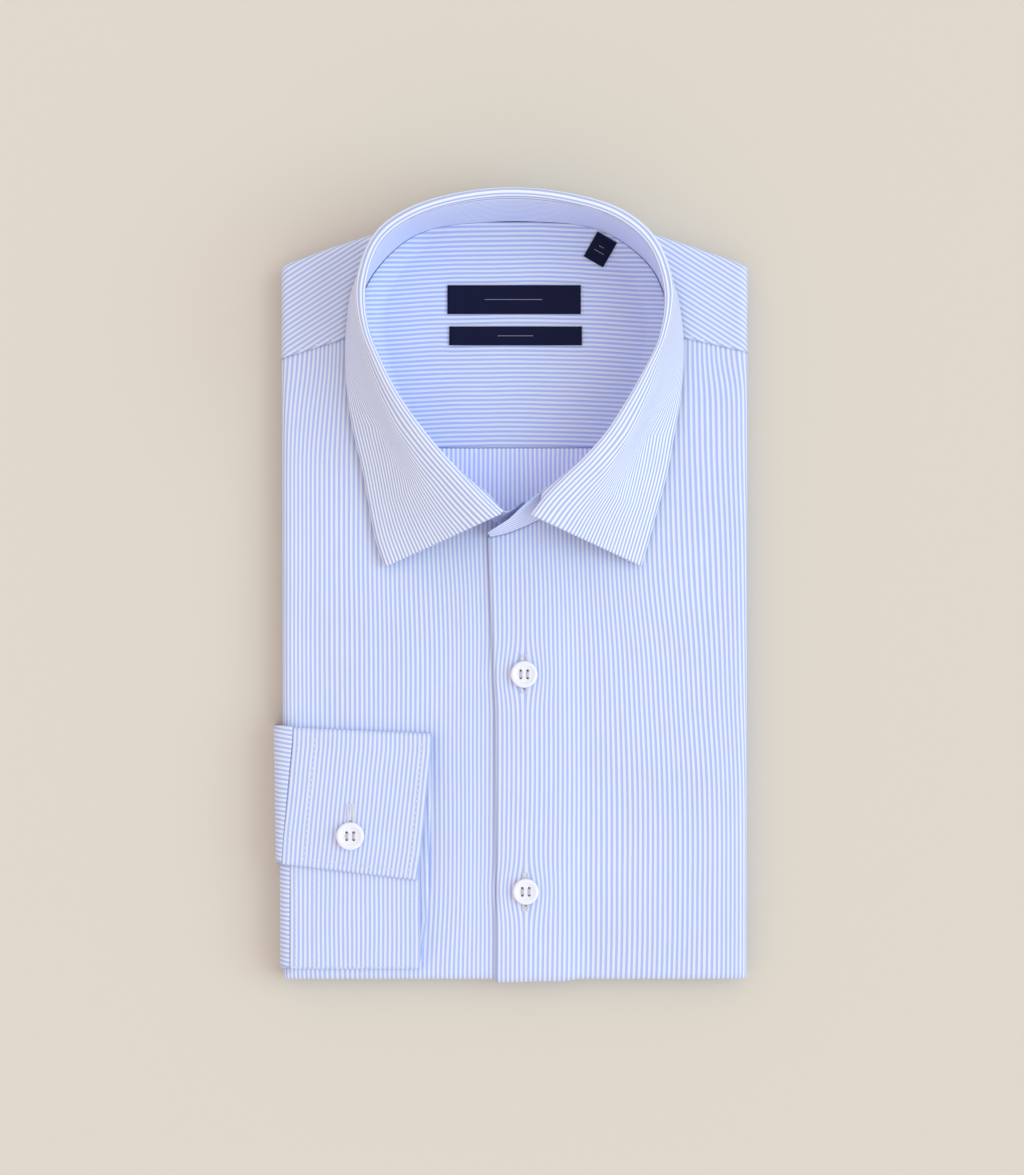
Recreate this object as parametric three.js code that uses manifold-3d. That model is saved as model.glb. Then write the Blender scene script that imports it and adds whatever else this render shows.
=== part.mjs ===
// Long sleeve dress shirt, folded as for a shelf and lying on its back.
// Units are millimetres. +X is the right-hand side of the fold as it is looked down on,
// +Y points to the collar and +Z up from the surface that it lies on. The origin is the
// middle of the underside. In names, left and right are the wearer's own.

import * as THREE from 'three';
import { mergeVertices } from 'three/addons/utils/BufferGeometryUtils.js';
import Module from 'manifold-3d';

const wasm = await Module();
wasm.setup();

// Cloth and seams
const CLOTH = 1.2;          // wall of one cloth piece
const STIFF_CLOTH = 1.2;    // wall of the interlined collar and cuff pieces
const SLEEVE_CLOTH = 1.0;   // wall of the sleeve where it goes round the folded edge
const GAP = 0.3;            // between pieces at a seam or one on another

// Folded body
const FOLD = {
  left: -100.9, leftFoot: -100.1,    // left folded edge at the shoulder and at the foot
  right: 104.6, rightFoot: 104.2,    // right folded edge at the shoulder and at the foot
  bottom: -171.5,                    // bottom folded edge
  height: 314,                       // from the bottom edge to the shoulder corners
  top: 14,                           // height of the fronts' upper face near the edges
  roll: 4,                           // outer radius of the folded edge
  tuck: 150,                         // degrees that a cover turns round the folded edge
  cornerPower: 6,                    // 2 makes round corners in plan, more squarer ones
  swell: 1.2,                        // how much higher the middle lies than the edges
  swellReach: 34,                    // from the start of the roll to the full swell
};
const ROLL_MIDDLE = FOLD.top - FOLD.roll;
const TUCK = THREE.MathUtils.degToRad(FOLD.tuck);

// The shoulder fold from left to right, and the seams between the yoke and the fronts
const SHOULDER_FOLD = table(['x', 'y'], [
  [-101, 143.1], [-79, 151.2], [-56, 158.4], [-28, 165], [0.8, 167.4], [30, 165],
  [60.6, 158], [82, 151], [104.7, 143.1],
]);
const YOKE_SEAM_LEFT = table(['x', 'y'], [[-101, 101.6], [-73.2, 110.1], [-67.6, 111.8]]);
const YOKE_SEAM_RIGHT = table(['x', 'y'], [[71, 109.3], [76.5, 110.5], [104.7, 104.4]]);

// Front closing: the overlap edge of the wearer's left front, from the foot up
const PLACKET_EDGE = table(['y', 'x'], [
  [-180, -6.3], [-127.5, -6.1], [-52.3, -6.5], [-30.3, -7.6], [-8.3, -8.6], [23.4, -9.8],
]);
const PLACKET_WIDTH = 27;   // how far the under front goes on below the upper one
const STEP_WIDTH = 9;       // over which the upper front comes down beside the under one

// Collar band, from its under end round the neck to its over end: the line where it is
// sewn on (base) and its upper edge (top)
const BAND = table(['baseX', 'baseY', 'topX', 'topY', 'topZ'], [
  [10.0, 36.6, 5.8, 38.9, 36.0],
  [-3.2, 29.4, -1.8, 34.3, 37.0],
  [-10.7, 32.8, -9.2, 41.5, 38.0],
  [-22.1, 41.4, -16.3, 47.5, 39.0],
  [-35.3, 53.3, -23.9, 53.9, 40.0],
  [-47.6, 66.5, -33.3, 63.8, 41.2],
  [-55.9, 79.7, -42.8, 76.4, 42.6],
  [-62.5, 93.7, -50.6, 89.0, 43.4],
  [-66.5, 109.6, -57.6, 104.0, 44.0],
  [-67.1, 122.7, -61.6, 117.0, 44.4],
  [-61.2, 137.7, -61.7, 135.9, 44.8],
  [-47.3, 152.6, -53.1, 153.3, 44.8],
  [-33.5, 159.0, -35.2, 162.9, 44.8],
  [-8.9, 161.9, -9.6, 168.1, 44.8],
  [13.1, 161.9, 12.8, 167.9, 44.8],
  [36.4, 159.2, 38.6, 163.1, 44.8],
  [52.6, 150.9, 57.2, 151.8, 44.8],
  [64.5, 138.1, 65.4, 134.3, 44.6],
  [70.4, 117.9, 65.8, 116.0, 44.3],
  [69.3, 104.7, 61.6, 103.0, 43.9],
  [65.4, 92.0, 55.0, 90.2, 43.3],
  [59.2, 79.7, 46.7, 76.2, 42.6],
  [50.0, 65.6, 37.4, 63.3, 41.6],
  [38.6, 52.4, 27.6, 54.2, 40.3],
  [26.3, 41.0, 16.6, 45.3, 38.9],
  [15.3, 32.6, 6.6, 37.6, 38.0],
  [5.2, 27.6, -0.5, 31.1, 36.0],
  [-2.7, 24.7, -6.2, 27.5, 32.0],
  [-8.7, 23.4, -9.9, 25.2, 24.0],
]);
// Rows of the band where the neck seam starts and ends; beyond them are its two ends
const NECK_FIRST = 2;
const NECK_LAST = 25;

// Collar leaf, from its left point round the neck to its right one: its fold line (fold)
// and its outer edge (edge)
const LEAF = table(['foldX', 'foldY', 'foldZ', 'edgeX', 'edgeY', 'edgeZ'], [
  [-3.7, 33.0, 39.5, -55.2, 10.0, 17.6],
  [-12.2, 41.3, 41.5, -59.2, 22.5, 17.4],
  [-21.2, 51.0, 43.0, -61.8, 35.7, 17.3],
  [-30.3, 60.9, 44.5, -65.1, 53.7, 17.2],
  [-39.7, 72.5, 46.0, -69.3, 71.3, 17.1],
  [-48.3, 84.9, 47.0, -71.9, 89.3, 17.0],
  [-55.4, 98.6, 47.5, -72.5, 105.5, 17.0],
  [-60.7, 111.9, 48.0, -71.7, 118.7, 17.0],
  [-62.4, 128.0, 48.4, -69.4, 132.5, 16.7],
  [-58.4, 144.8, 48.5, -63.5, 149.6, 16.2],
  [-52.6, 153.3, 48.5, -56.9, 159.4, 14.4],
  [-41.0, 161.0, 48.5, -44.0, 167.4, 8.6],
  [-22.4, 166.9, 48.5, -24.0, 171.6, 7.2],
  [1.6, 169.4, 48.5, 1.6, 172.6, 7.0],
  [25.7, 166.7, 48.5, 28.0, 171.4, 7.2],
  [44.5, 160.7, 48.5, 48.0, 167.0, 8.6],
  [56.5, 152.0, 48.5, 61.4, 159.0, 14.4],
  [62.5, 142.8, 48.5, 67.2, 147.6, 16.2],
  [66.4, 126.5, 48.4, 72.7, 131.5, 16.8],
  [63.6, 108.1, 48.0, 75.6, 116.5, 17.0],
  [57.1, 94.3, 47.5, 76.2, 103.3, 17.0],
  [49.8, 81.5, 47.0, 75.0, 85.8, 17.0],
  [41.2, 68.2, 46.0, 71.9, 67.8, 17.1],
  [31.8, 57.5, 44.5, 68.7, 50.6, 17.2],
  [22.8, 48.9, 43.0, 64.2, 33.9, 17.3],
  [14.2, 39.9, 41.5, 61.2, 22.9, 17.4],
  [8.6, 32.6, 39.5, 57.6, 10.4, 17.6],
]);
const LEAF_FORM = {
  rise: 2.6,        // height of the fold above the leaf's seam with the band
  bend: 1.6,        // outer radius of the fold
  shoulder: 7,      // how far the leaf runs outwards at the fold before it falls
  flare: 6,         // how far its foot turns out above the outer edge
  flareHeight: 10,  // height above the outer edge at which it starts to turn out
};

// Inside of the neck
const NECK = {
  rim: 12.4,        // height of the inner face at the neck seam
  depth: 2.2,       // how much deeper it lies in the middle
  slope: 12,        // over which it goes down
  backSeam: 62.6,   // seam between the yoke and the back
  foot: 34.5,       // where the back goes out of sight under the fronts
  head: 161.2,      // where the yoke meets the band
  middleX: 2, middleY: 95,
  dishStart: 0.8,   // share of the way in from the edges at which the core is dished
};
const NECK_FLOOR = NECK.rim - NECK.depth - CLOTH - 2 * GAP;

// Buttoned cuff, flattened: its two folds and its two ends, and the sides of its layers
const CUFF = { bottomFold: -166.4, topFold: -60.2, underEnd: -95, overEnd: -120.2 };
const CUFF_SIDES = table(['path', 'left', 'right', 'slant'], [
  // path is 0 at the under end, 1 at the bottom fold, 2 at the top fold, 3 at the over end
  [0, -96.6, -39.7, 0], [1, -96.9, -39.5, 0], [1.2, -96.8, -36.2, 0], [1.9, -96.2, -34.4, -1],
  [2, -95.4, -34.6, -2.6], [2.1, -95.6, -34.8, -2.7], [2.8, -99.6, -39.0, -5.5],
  [3, -100.4, -41.1, -6.9],
]);

// Sleeve end, where it goes from the cuff round the left folded edge to the back
const SLEEVE_OVER = {
  name: 'sleeve_over', high: -59.4, low: -119.4, height: 18.4,
  innerHigh: -95.9, innerLow: -100.7, reachHigh: 3.9, reachLow: 3.1,
};
const SLEEVE_UNDER = {
  name: 'sleeve_under', high: -112, low: -165.8, height: 16.9,
  innerHigh: -97.1, innerLow: -97.3, reachHigh: 1.4, reachLow: 1.4,
};
const SLEEVE_FOOT = 0.6;    // height of the sleeve's lower edge above the surface

// Buttons
const BUTTON = {
  radius: 5.9, height: 2.4, rimWidth: 1.2, dish: 0.7, holeRadius: 0.85, holeSpread: 1.65,
};
const BUTTONS_ON_FRONT = table(['name', 'x', 'y'], [
  ['button_upper', 6.1, -36.9],
  ['button_lower', 6.8, -132.3],
]);
const BUTTON_ON_CUFF = { name: 'button_cuff', x: -70.1, y: -107.7 };

// Labels inside the yoke
const LABEL_WALL = 0.8;
const LABEL_UPPER = { left: -27.7, right: 31.1, low: 121.8, high: 134.5 };
const LABEL_LOWER = { left: -26.9, right: 31.6, low: 108.0, high: 116.3 };
const SIZE_TAB = { x: 39.6, y: 150.0, width: 9.9, length: 12, turn: -30 };

// Colours
const STRIPED_CLOTH = { color: 0xd0daf8, roughness: 0.85, metalness: 0 };
const NAVY_SATIN = { color: 0x20223c, roughness: 0.5, metalness: 0 };
const PEARL = { color: 0xe8e8f2, roughness: 0.3, metalness: 0 };

function table(columns, rows) {
  return rows.map((row) => Object.fromEntries(columns.map((name, i) => [name, row[i]])));
}

function lerp(a, b, f) {
  return a + (b - a) * f;
}

function smooth(value, low, high) {
  return THREE.MathUtils.smoothstep(value, low, high);
}

function evenSteps(from, to, count) {
  return Array.from({ length: count + 1 }, (_, i) => lerp(from, to, i / count));
}

// Value of one column of rows at a place given by another, straight between rows
function lookUp(rows, key, value, at) {
  if (at <= rows[0][key]) return rows[0][value];
  for (let i = 1; i < rows.length; i += 1) {
    if (at <= rows[i][key]) {
      const f = (at - rows[i - 1][key]) / (rows[i][key] - rows[i - 1][key]);
      return lerp(rows[i - 1][value], rows[i][value], f);
    }
  }
  return rows[rows.length - 1][value];
}

// Smooth curve through three named columns of a table; a missing third one is level
function curveThrough(rows, x, y, z) {
  const points = rows.map((row) => new THREE.Vector3(row[x], row[y], z ? row[z] : 0));
  return new THREE.CatmullRomCurve3(points, false, 'centripetal');
}

// Folded outline
function alongFold(foot, head, y) {
  return lerp(foot, head, THREE.MathUtils.clamp((y - FOLD.bottom) / FOLD.height, 0, 1));
}

function leftEdge(y) {
  return alongFold(FOLD.leftFoot, FOLD.left, y);
}

function rightEdge(y) {
  return alongFold(FOLD.rightFoot, FOLD.right, y);
}

function shoulderFold(x) {
  return lookUp(SHOULDER_FOLD, 'x', 'y', x);
}

// Height of the cover's upper face: it swells from the edges to the middle
function coverTop(x, y) {
  const inside = Math.min(
    x - leftEdge(y) - FOLD.roll,
    rightEdge(y) - FOLD.roll - x,
    y - FOLD.bottom - FOLD.roll,
    shoulderFold(x) - FOLD.roll - y,
  );
  return FOLD.top + FOLD.swell * smooth(inside, 0, FOLD.swellReach);
}

// Reach in plan of a folded edge in the direction of dx and dy, square-cornered
function squareReach(dx, dy) {
  const power = FOLD.cornerPower;
  const length = (Math.abs(dx) ** power + Math.abs(dy) ** power) ** (1 / power);
  return new THREE.Vector2(dx / length, dy / length);
}

// A point of the cover laid flat, at x and y, taken round the folded edges. Depth is
// measured inwards from the cover's upper face, and a raise lifts the cover off what it
// lies on.
function wrap(x, y, depth, raise) {
  const pastLeft = Math.min(x - leftEdge(y) - FOLD.roll, 0);
  const pastRight = Math.max(x - rightEdge(y) + FOLD.roll, 0);
  const pastBottom = Math.min(y - FOLD.bottom - FOLD.roll, 0);
  const pastShoulder = Math.max(y - shoulderFold(x) + FOLD.roll, 0);
  const dx = pastLeft + pastRight;
  const dy = pastBottom + pastShoulder;
  const arc = Math.max(Math.abs(dx), Math.abs(dy));
  if (arc === 0) return new THREE.Vector3(x, y, coverTop(x, y) - depth + raise);
  const angle = arc / (FOLD.roll + raise);
  const radius = FOLD.roll + raise - depth;
  const reach = squareReach(dx, dy).multiplyScalar(radius * Math.sin(angle));
  const z = ROLL_MIDDLE + radius * Math.cos(angle);
  return new THREE.Vector3(x - dx + reach.x, y - dy + reach.y, z);
}

// Geometry of a closed body with its faces turned outwards
function closedGeometry(position, index) {
  const corner = (i) => new THREE.Vector3().fromArray(position, 3 * i);
  let volume = 0;
  for (let i = 0; i < index.length; i += 3) {
    volume += corner(index[i]).dot(corner(index[i + 1]).cross(corner(index[i + 2])));
  }
  if (volume < 0) index.reverse();
  const geometry = new THREE.BufferGeometry();
  geometry.setAttribute('position', new THREE.Float32BufferAttribute(position, 3));
  geometry.setIndex(index);
  const merged = mergeVertices(geometry, 1e-4);
  merged.computeVertexNormals();
  return merged;
}

// Closed solid between an outer and an inner grid of points
function solidBetween(outer, inner) {
  const rows = outer.length;
  const cols = outer[0].length;
  const position = [outer, inner].flat(2).flatMap((p) => [p.x, p.y, p.z]);
  const index = [];
  const at = (side, r, c) => side * rows * cols + r * cols + c;
  const quad = (a, b, c, d) => index.push(a, b, c, a, c, d);
  for (let r = 0; r < rows - 1; r += 1) {
    for (let c = 0; c < cols - 1; c += 1) {
      quad(at(0, r, c), at(0, r, c + 1), at(0, r + 1, c + 1), at(0, r + 1, c));
      quad(at(1, r, c), at(1, r + 1, c), at(1, r + 1, c + 1), at(1, r, c + 1));
    }
  }
  const last = { row: rows - 1, col: cols - 1 };
  for (let c = 0; c < last.col; c += 1) {
    quad(at(0, 0, c + 1), at(0, 0, c), at(1, 0, c), at(1, 0, c + 1));
    quad(at(0, last.row, c), at(0, last.row, c + 1), at(1, last.row, c + 1), at(1, last.row, c));
  }
  for (let r = 0; r < last.row; r += 1) {
    quad(at(0, r, 0), at(0, r + 1, 0), at(1, r + 1, 0), at(1, r, 0));
    quad(at(0, r + 1, last.col), at(0, r, last.col), at(1, r, last.col), at(1, r + 1, last.col));
  }
  return closedGeometry(position, index);
}

// Grid moved by a distance along its own normals
function offsetGrid(grid, distance) {
  const lastRow = grid.length - 1;
  const lastCol = grid[0].length - 1;
  return grid.map((row, r) => row.map((point, c) => {
    const along = new THREE.Vector3().subVectors(
      row[Math.min(c + 1, lastCol)],
      row[Math.max(c - 1, 0)],
    );
    const across = new THREE.Vector3().subVectors(
      grid[Math.min(r + 1, lastRow)][c],
      grid[Math.max(r - 1, 0)][c],
    );
    return point.clone().addScaledVector(along.cross(across).normalize(), distance);
  }));
}

function garmentMesh(name, geometry, look) {
  const mesh = new THREE.Mesh(geometry, new THREE.MeshStandardMaterial(look));
  mesh.name = name;
  return mesh;
}

// Neck seam seen from above, and its left and right halves
const neckSeam = curveThrough(BAND.slice(NECK_FIRST, NECK_LAST + 1), 'baseX', 'baseY')
  .getSpacedPoints(96);
const neckHead = neckSeam.reduce((best, p, i) => (p.y > neckSeam[best].y ? i : best), 0);
const neckLeft = neckSeam.slice(0, neckHead + 1);
const neckRight = neckSeam.slice(neckHead).reverse();

// Upper edge of the wearer's right front: yoke seam, neck seam, under end of the band
const RIGHT_FRONT_TOP = [
  ...YOKE_SEAM_LEFT,
  ...neckLeft.filter((p) => p.y < 109.5).reverse(),
  ...BAND.slice(0, NECK_FIRST).reverse().map((row) => ({ x: row.baseX, y: row.baseY })),
];
// Upper edge of the wearer's left front: over end of the band, neck seam, yoke seam
const LEFT_FRONT_TOP = [
  ...BAND.slice(NECK_LAST + 1).reverse().map((row) => ({ x: row.baseX, y: row.baseY })),
  ...neckRight.filter((p) => p.y < 108),
  ...YOKE_SEAM_RIGHT,
];
// Lower edge of the yoke's outer face: left seam, back of the neck, right seam
const YOKE_FOOT = [
  ...YOKE_SEAM_LEFT,
  ...neckLeft.filter((p) => p.y > 123),
  ...neckRight.filter((p) => p.y > 118).reverse(),
  ...YOKE_SEAM_RIGHT,
];

// Steps of the cover round a folded edge, as arc lengths from the tuck to the flat
const ROLL_STEPS = evenSteps(TUCK * FOLD.roll, 0, 5);

// Columns and rows of a cover panel are functions that give x at a y, or y at an x
const leftRoll = ROLL_STEPS.map((arc) => (y) => leftEdge(y) + FOLD.roll - arc);
const rightRoll = ROLL_STEPS.map((arc) => (y) => rightEdge(y) - FOLD.roll + arc).reverse();
const bottomRoll = ROLL_STEPS.map((arc) => () => FOLD.bottom + FOLD.roll - arc);
const shoulderRoll = ROLL_STEPS.map((arc) => (x) => shoulderFold(x) - FOLD.roll + arc).reverse();

function between(from, to, fractions) {
  return fractions.map((f) => (at) => lerp(from(at), to(at), f));
}

// Solid cover panel over a grid of columns and rows
function coverPanel(name, columns, rows, raiseAt) {
  const grid = (depth) => rows.map((rowY) => columns.map((columnX) => {
    const x = columnX(rowY(columnX(0)));
    const y = rowY(x);
    return wrap(x, y, depth, raiseAt(x, y));
  }));
  return garmentMesh(name, solidBetween(grid(0), grid(CLOTH)), STRIPED_CLOTH);
}

// Steps up a front, from the end of the bottom roll to its upper edge
const FRONT_STEPS = [0.08, 0.2, 0.35, 0.5, 0.65, 0.8, 0.9, 1];

const flatOnCore = () => 0;

function placketEdge(y) {
  return lookUp(PLACKET_EDGE, 'y', 'x', y);
}

// Height that the upper front gains where it lies on the under one
function placketRaise(x, y) {
  const past = x - placketEdge(y);
  return (CLOTH + GAP) * (1 - smooth(past, PLACKET_WIDTH + GAP, PLACKET_WIDTH + STEP_WIDTH));
}

function rightFront() {
  const underEdge = (y) => placketEdge(y) + PLACKET_WIDTH - STEP_WIDTH / 2;
  const columns = [
    ...leftRoll,
    ...between(leftRoll.at(-1), underEdge, [0.1, 0.22, 0.35, 0.5, 0.65, 0.75, 0.85, 0.93, 1]),
  ];
  const top = (x) => lookUp(RIGHT_FRONT_TOP, 'x', 'y', x) - GAP;
  const rows = [...bottomRoll, ...between(bottomRoll.at(-1), top, FRONT_STEPS)];
  return coverPanel('front_right', columns, rows, flatOnCore);
}

function leftFront() {
  const stepEnd = (y) => placketEdge(y) + PLACKET_WIDTH + STEP_WIDTH;
  const columns = [
    ...between(placketEdge, stepEnd, [0, 0.25, 0.5, 0.76, 0.84, 0.92, 1]),
    ...between(stepEnd, rightRoll[0], [0.15, 0.35, 0.55, 0.75, 0.9]),
    ...rightRoll,
  ];
  const top = (x) => lookUp(LEFT_FRONT_TOP, 'x', 'y', x) - GAP;
  const rows = [...bottomRoll, ...between(bottomRoll.at(-1), top, FRONT_STEPS)];
  return coverPanel('front_left', columns, rows, placketRaise);
}

function yokeOuter() {
  const inner = [
    -92, -84, -76, -71, -67.6, -66.9, -65, -61, -54, -44, -30, -14, 2, 18, 33, 46, 56,
    63, 67, 69.5, 70.4, 71, 75, 84, 93,
  ];
  const columns = [...leftRoll, ...inner.map((x) => () => x), ...rightRoll];
  const foot = (x) => lookUp(YOKE_FOOT, 'x', 'y', x) + GAP;
  const rows = [...between(foot, shoulderRoll[0], [0, 0.35, 0.7]), ...shoulderRoll];
  return coverPanel('yoke_outer', columns, rows, flatOnCore);
}

// Hidden layers: profile of the core below its upper face, from the outline's start of the
// roll outwards. The upper roll lies inside the covers and two lower ones below them.
function corePoints() {
  const upper = FOLD.roll - CLOTH - 1.5 * GAP;
  const rolls = [
    { out: 0, height: ROLL_MIDDLE, radius: upper, from: 90, to: -60, steps: 4 },
    { out: 0.3, height: 7, radius: 0.1, from: 0, to: 0, steps: 1 },
    { out: 2.2, height: 4.7, radius: 1.5, from: 100, to: -80, steps: 5 },
    { out: 2.1, height: 1.6, radius: 1.6, from: 70, to: -90, steps: 4 },
  ];
  return rolls.flatMap((roll) => {
    const angles = roll.from === roll.to ? [roll.from] : evenSteps(roll.from, roll.to, roll.steps);
    return angles.map((degrees) => {
      const angle = THREE.MathUtils.degToRad(degrees);
      return {
        out: roll.out + roll.radius * Math.cos(angle),
        z: roll.height + roll.radius * Math.sin(angle),
      };
    });
  });
}

// Outline of the core, anticlockwise: points at the start of the roll, each with the
// direction in which the roll goes out
function coreOutline() {
  const r = FOLD.roll;
  const low = FOLD.bottom + r;
  const headY = { left: shoulderFold(FOLD.left) - r, right: shoulderFold(FOLD.right) - r };
  const corner = (x, y, from) => evenSteps(from + 20, from + 70, 2).map((degrees) => {
    const angle = THREE.MathUtils.degToRad(degrees);
    return { x, y, out: squareReach(Math.cos(angle), Math.sin(angle)) };
  });
  const along = (points, dx, dy) => points.map((p) => ({ ...p, out: new THREE.Vector2(dx, dy) }));
  const acrossX = evenSteps(FOLD.leftFoot + r, FOLD.rightFoot - r, 10);
  const shoulderX = evenSteps(FOLD.right - r, FOLD.left + r, 16);
  const sideY = (head) => evenSteps(low, head, 12);
  return [
    ...along(acrossX.map((x) => ({ x, y: low })), 0, -1),
    ...corner(FOLD.rightFoot - r, low, -90),
    ...along(sideY(headY.right).map((y) => ({ x: rightEdge(y) - r, y })), 1, 0),
    ...corner(FOLD.right - r, headY.right, 0),
    ...along(shoulderX.map((x) => ({ x, y: shoulderFold(x) - r })), 0, 1),
    ...corner(FOLD.left + r, headY.left, 90),
    ...along(sideY(headY.left).reverse().map((y) => ({ x: leftEdge(y) + r, y })), -1, 0),
    ...corner(FOLD.leftFoot + r, low, 180),
  ];
}

// Point of the neck seam in the direction of a point, seen from the neck's middle
function neckTowards(x, y) {
  const angleOf = (p) => Math.atan2(p.x - NECK.middleX, p.y - NECK.middleY);
  const target = angleOf({ x, y });
  const rows = [...neckSeam]
    .map((p) => ({ angle: angleOf(p), far: Math.hypot(p.x - NECK.middleX, p.y - NECK.middleY) }))
    .sort((a, b) => a.angle - b.angle);
  const far = lookUp(rows, 'angle', 'far', target);
  return { x: NECK.middleX + far * Math.sin(target), y: NECK.middleY + far * Math.cos(target) };
}

// Rings of the core, from the middle of its dished neck out over its upper face and down
// round its edges
function coreRings() {
  const outline = coreOutline();
  const neck = outline.map((p) => neckTowards(p.x, p.y));
  const insideNeck = (f) => neck.map((seam) => [
    lerp(seam.x, NECK.middleX, f),
    lerp(seam.y, NECK.middleY, f),
    NECK_FLOOR,
  ]);
  const underCovers = (f) => outline.map((p, i) => {
    const x = lerp(p.x, neck[i].x, f);
    const y = lerp(p.y, neck[i].y, f);
    return [x, y, f > NECK.dishStart ? NECK_FLOOR : coverTop(x, y) - CLOTH - 1.5 * GAP];
  });
  const roundEdge = (side) => outline.map((p) => [
    p.x + p.out.x * side.out,
    p.y + p.out.y * side.out,
    side.z,
  ]);
  return [
    ...[0.85, 0.45, 0].map(insideNeck),
    ...[0.85, 0.6, 0.3, 0.05, 0].map(underCovers),
    ...corePoints().slice(1).map(roundEdge),
  ];
}

// Hidden layers of the fold as one rounded solid: flat below, layered at its edges, and
// dished under the neck
function foldedCore() {
  const rings = coreRings();
  const count = rings[0].length;
  const position = rings.flat(2);
  const index = [];
  const at = (ring, i) => ring * count + (i % count);
  for (let ring = 0; ring < rings.length - 1; ring += 1) {
    for (let i = 0; i < count; i += 1) {
      index.push(at(ring, i), at(ring + 1, i), at(ring + 1, i + 1));
      index.push(at(ring, i), at(ring + 1, i + 1), at(ring, i + 1));
    }
  }
  const topMiddle = position.length / 3;
  const bottomMiddle = topMiddle + 1;
  position.push(NECK.middleX, NECK.middleY, NECK_FLOOR, 0, 0, 0);
  const lastRing = rings.length - 1;
  for (let i = 0; i < count; i += 1) {
    index.push(topMiddle, at(0, i), at(0, i + 1));
    index.push(bottomMiddle, at(lastRing, i + 1), at(lastRing, i));
  }
  return garmentMesh('folded_core', closedGeometry(position, index), STRIPED_CLOTH);
}

// Height of the inner face of the yoke and the back, seen through the neck
function neckFace(x, y) {
  const inside = Math.min(
    x - lookUp(neckLeft, 'y', 'x', y),
    lookUp(neckRight, 'y', 'x', y) - x,
    neckSeam[neckHead].y - y,
  );
  return NECK.rim - NECK.depth * smooth(inside, 0, NECK.slope);
}

// Steps across the neck's inside, and up its two pieces, closer together at the slopes
const INSIDE_ACROSS = [0, 0.04, 0.09, 0.2, 0.4, 0.6, 0.8, 0.91, 0.96, 1];
const YOKE_STEPS = [0, 0.25, 0.5, 0.7, 0.84, 0.92, 0.96, 1];
const BACK_STEPS = [0, 0.3, 0.6, 1];

function insidePanel(name, low, high, steps) {
  const rows = steps.map((f) => lerp(low, high, f));
  const grid = (depth) => rows.map((y) => {
    const left = lookUp(neckLeft, 'y', 'x', y) + GAP;
    const right = lookUp(neckRight, 'y', 'x', y) - GAP;
    return INSIDE_ACROSS.map((f) => {
      const x = lerp(left, right, f);
      return new THREE.Vector3(x, y, neckFace(x, y) - depth);
    });
  });
  return garmentMesh(name, solidBetween(grid(0), grid(CLOTH)), STRIPED_CLOTH);
}

// Collar band: straight from the neck seam to its upper edge, thick outwards
function collarBand() {
  const stations = 60;
  const base = curveThrough(BAND, 'baseX', 'baseY');
  const top = curveThrough(BAND, 'topX', 'topY', 'topZ');
  const inner = evenSteps(0, 1, stations).map((t) => {
    const low = base.getPoint(t);
    const high = top.getPoint(t);
    const onLeftFront = t > 0.5 ? placketRaise(low.x, low.y) : 0;
    low.z = coverTop(low.x, low.y) + onLeftFront + GAP;
    return evenSteps(0, 1, 3).map((f) => low.clone().lerp(high, f));
  });
  const outer = offsetGrid(inner, STIFF_CLOTH);
  outer.forEach((row, r) => {
    row[0].z = inner[r][0].z;
  });
  return garmentMesh('collar_band', solidBetween(outer, inner), STRIPED_CLOTH);
}

// One section of the collar leaf, from its seam with the band over the fold to its edge
function leafSection(fold, edge) {
  const { rise, bend, shoulder, flare, flareHeight } = LEAF_FORM;
  const outwards = new THREE.Vector3(edge.x - fold.x, edge.y - fold.y, 0);
  const run = outwards.length() - bend;
  outwards.normalize();
  const place = (out, up) => fold.clone().addScaledVector(outwards, out).setZ(fold.z + up);
  const crest = place(bend, 0);
  const fall = new THREE.CubicBezierCurve3(
    crest,
    place(bend + Math.min(shoulder, 0.6 * run), -0.3),
    edge.clone().addScaledVector(outwards, -Math.min(flare, 0.5 * run))
      .setZ(edge.z + Math.min(flareHeight, 0.4 * (fold.z - edge.z))),
    edge,
  );
  const slant = bend * Math.SQRT1_2;
  return [
    place(0, -rise),
    place(0, -bend),
    place(bend - slant, -bend + slant),
    ...fall.getPoints(6),
  ];
}

function collarLeaf() {
  const stations = 56;
  const foldLine = curveThrough(LEAF, 'foldX', 'foldY', 'foldZ');
  const edgeLine = curveThrough(LEAF, 'edgeX', 'edgeY', 'edgeZ');
  const outer = evenSteps(0, 1, stations)
    .map((t) => leafSection(foldLine.getPoint(t), edgeLine.getPoint(t)));
  const inner = offsetGrid(outer, STIFF_CLOTH);
  return garmentMesh('collar_leaf', solidBetween(outer, inner), STRIPED_CLOTH);
}

// Heights of the cuff's layers above the cover, each as its outer and its inner face
const CUFF_LAYERS = {
  back: { outer: 0, inner: STIFF_CLOTH },
  under: { outer: 2 * STIFF_CLOTH + GAP, inner: STIFF_CLOTH + GAP },
  over: { outer: 3 * STIFF_CLOTH + 2 * GAP, inner: 2 * STIFF_CLOTH + 2 * GAP },
};

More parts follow.
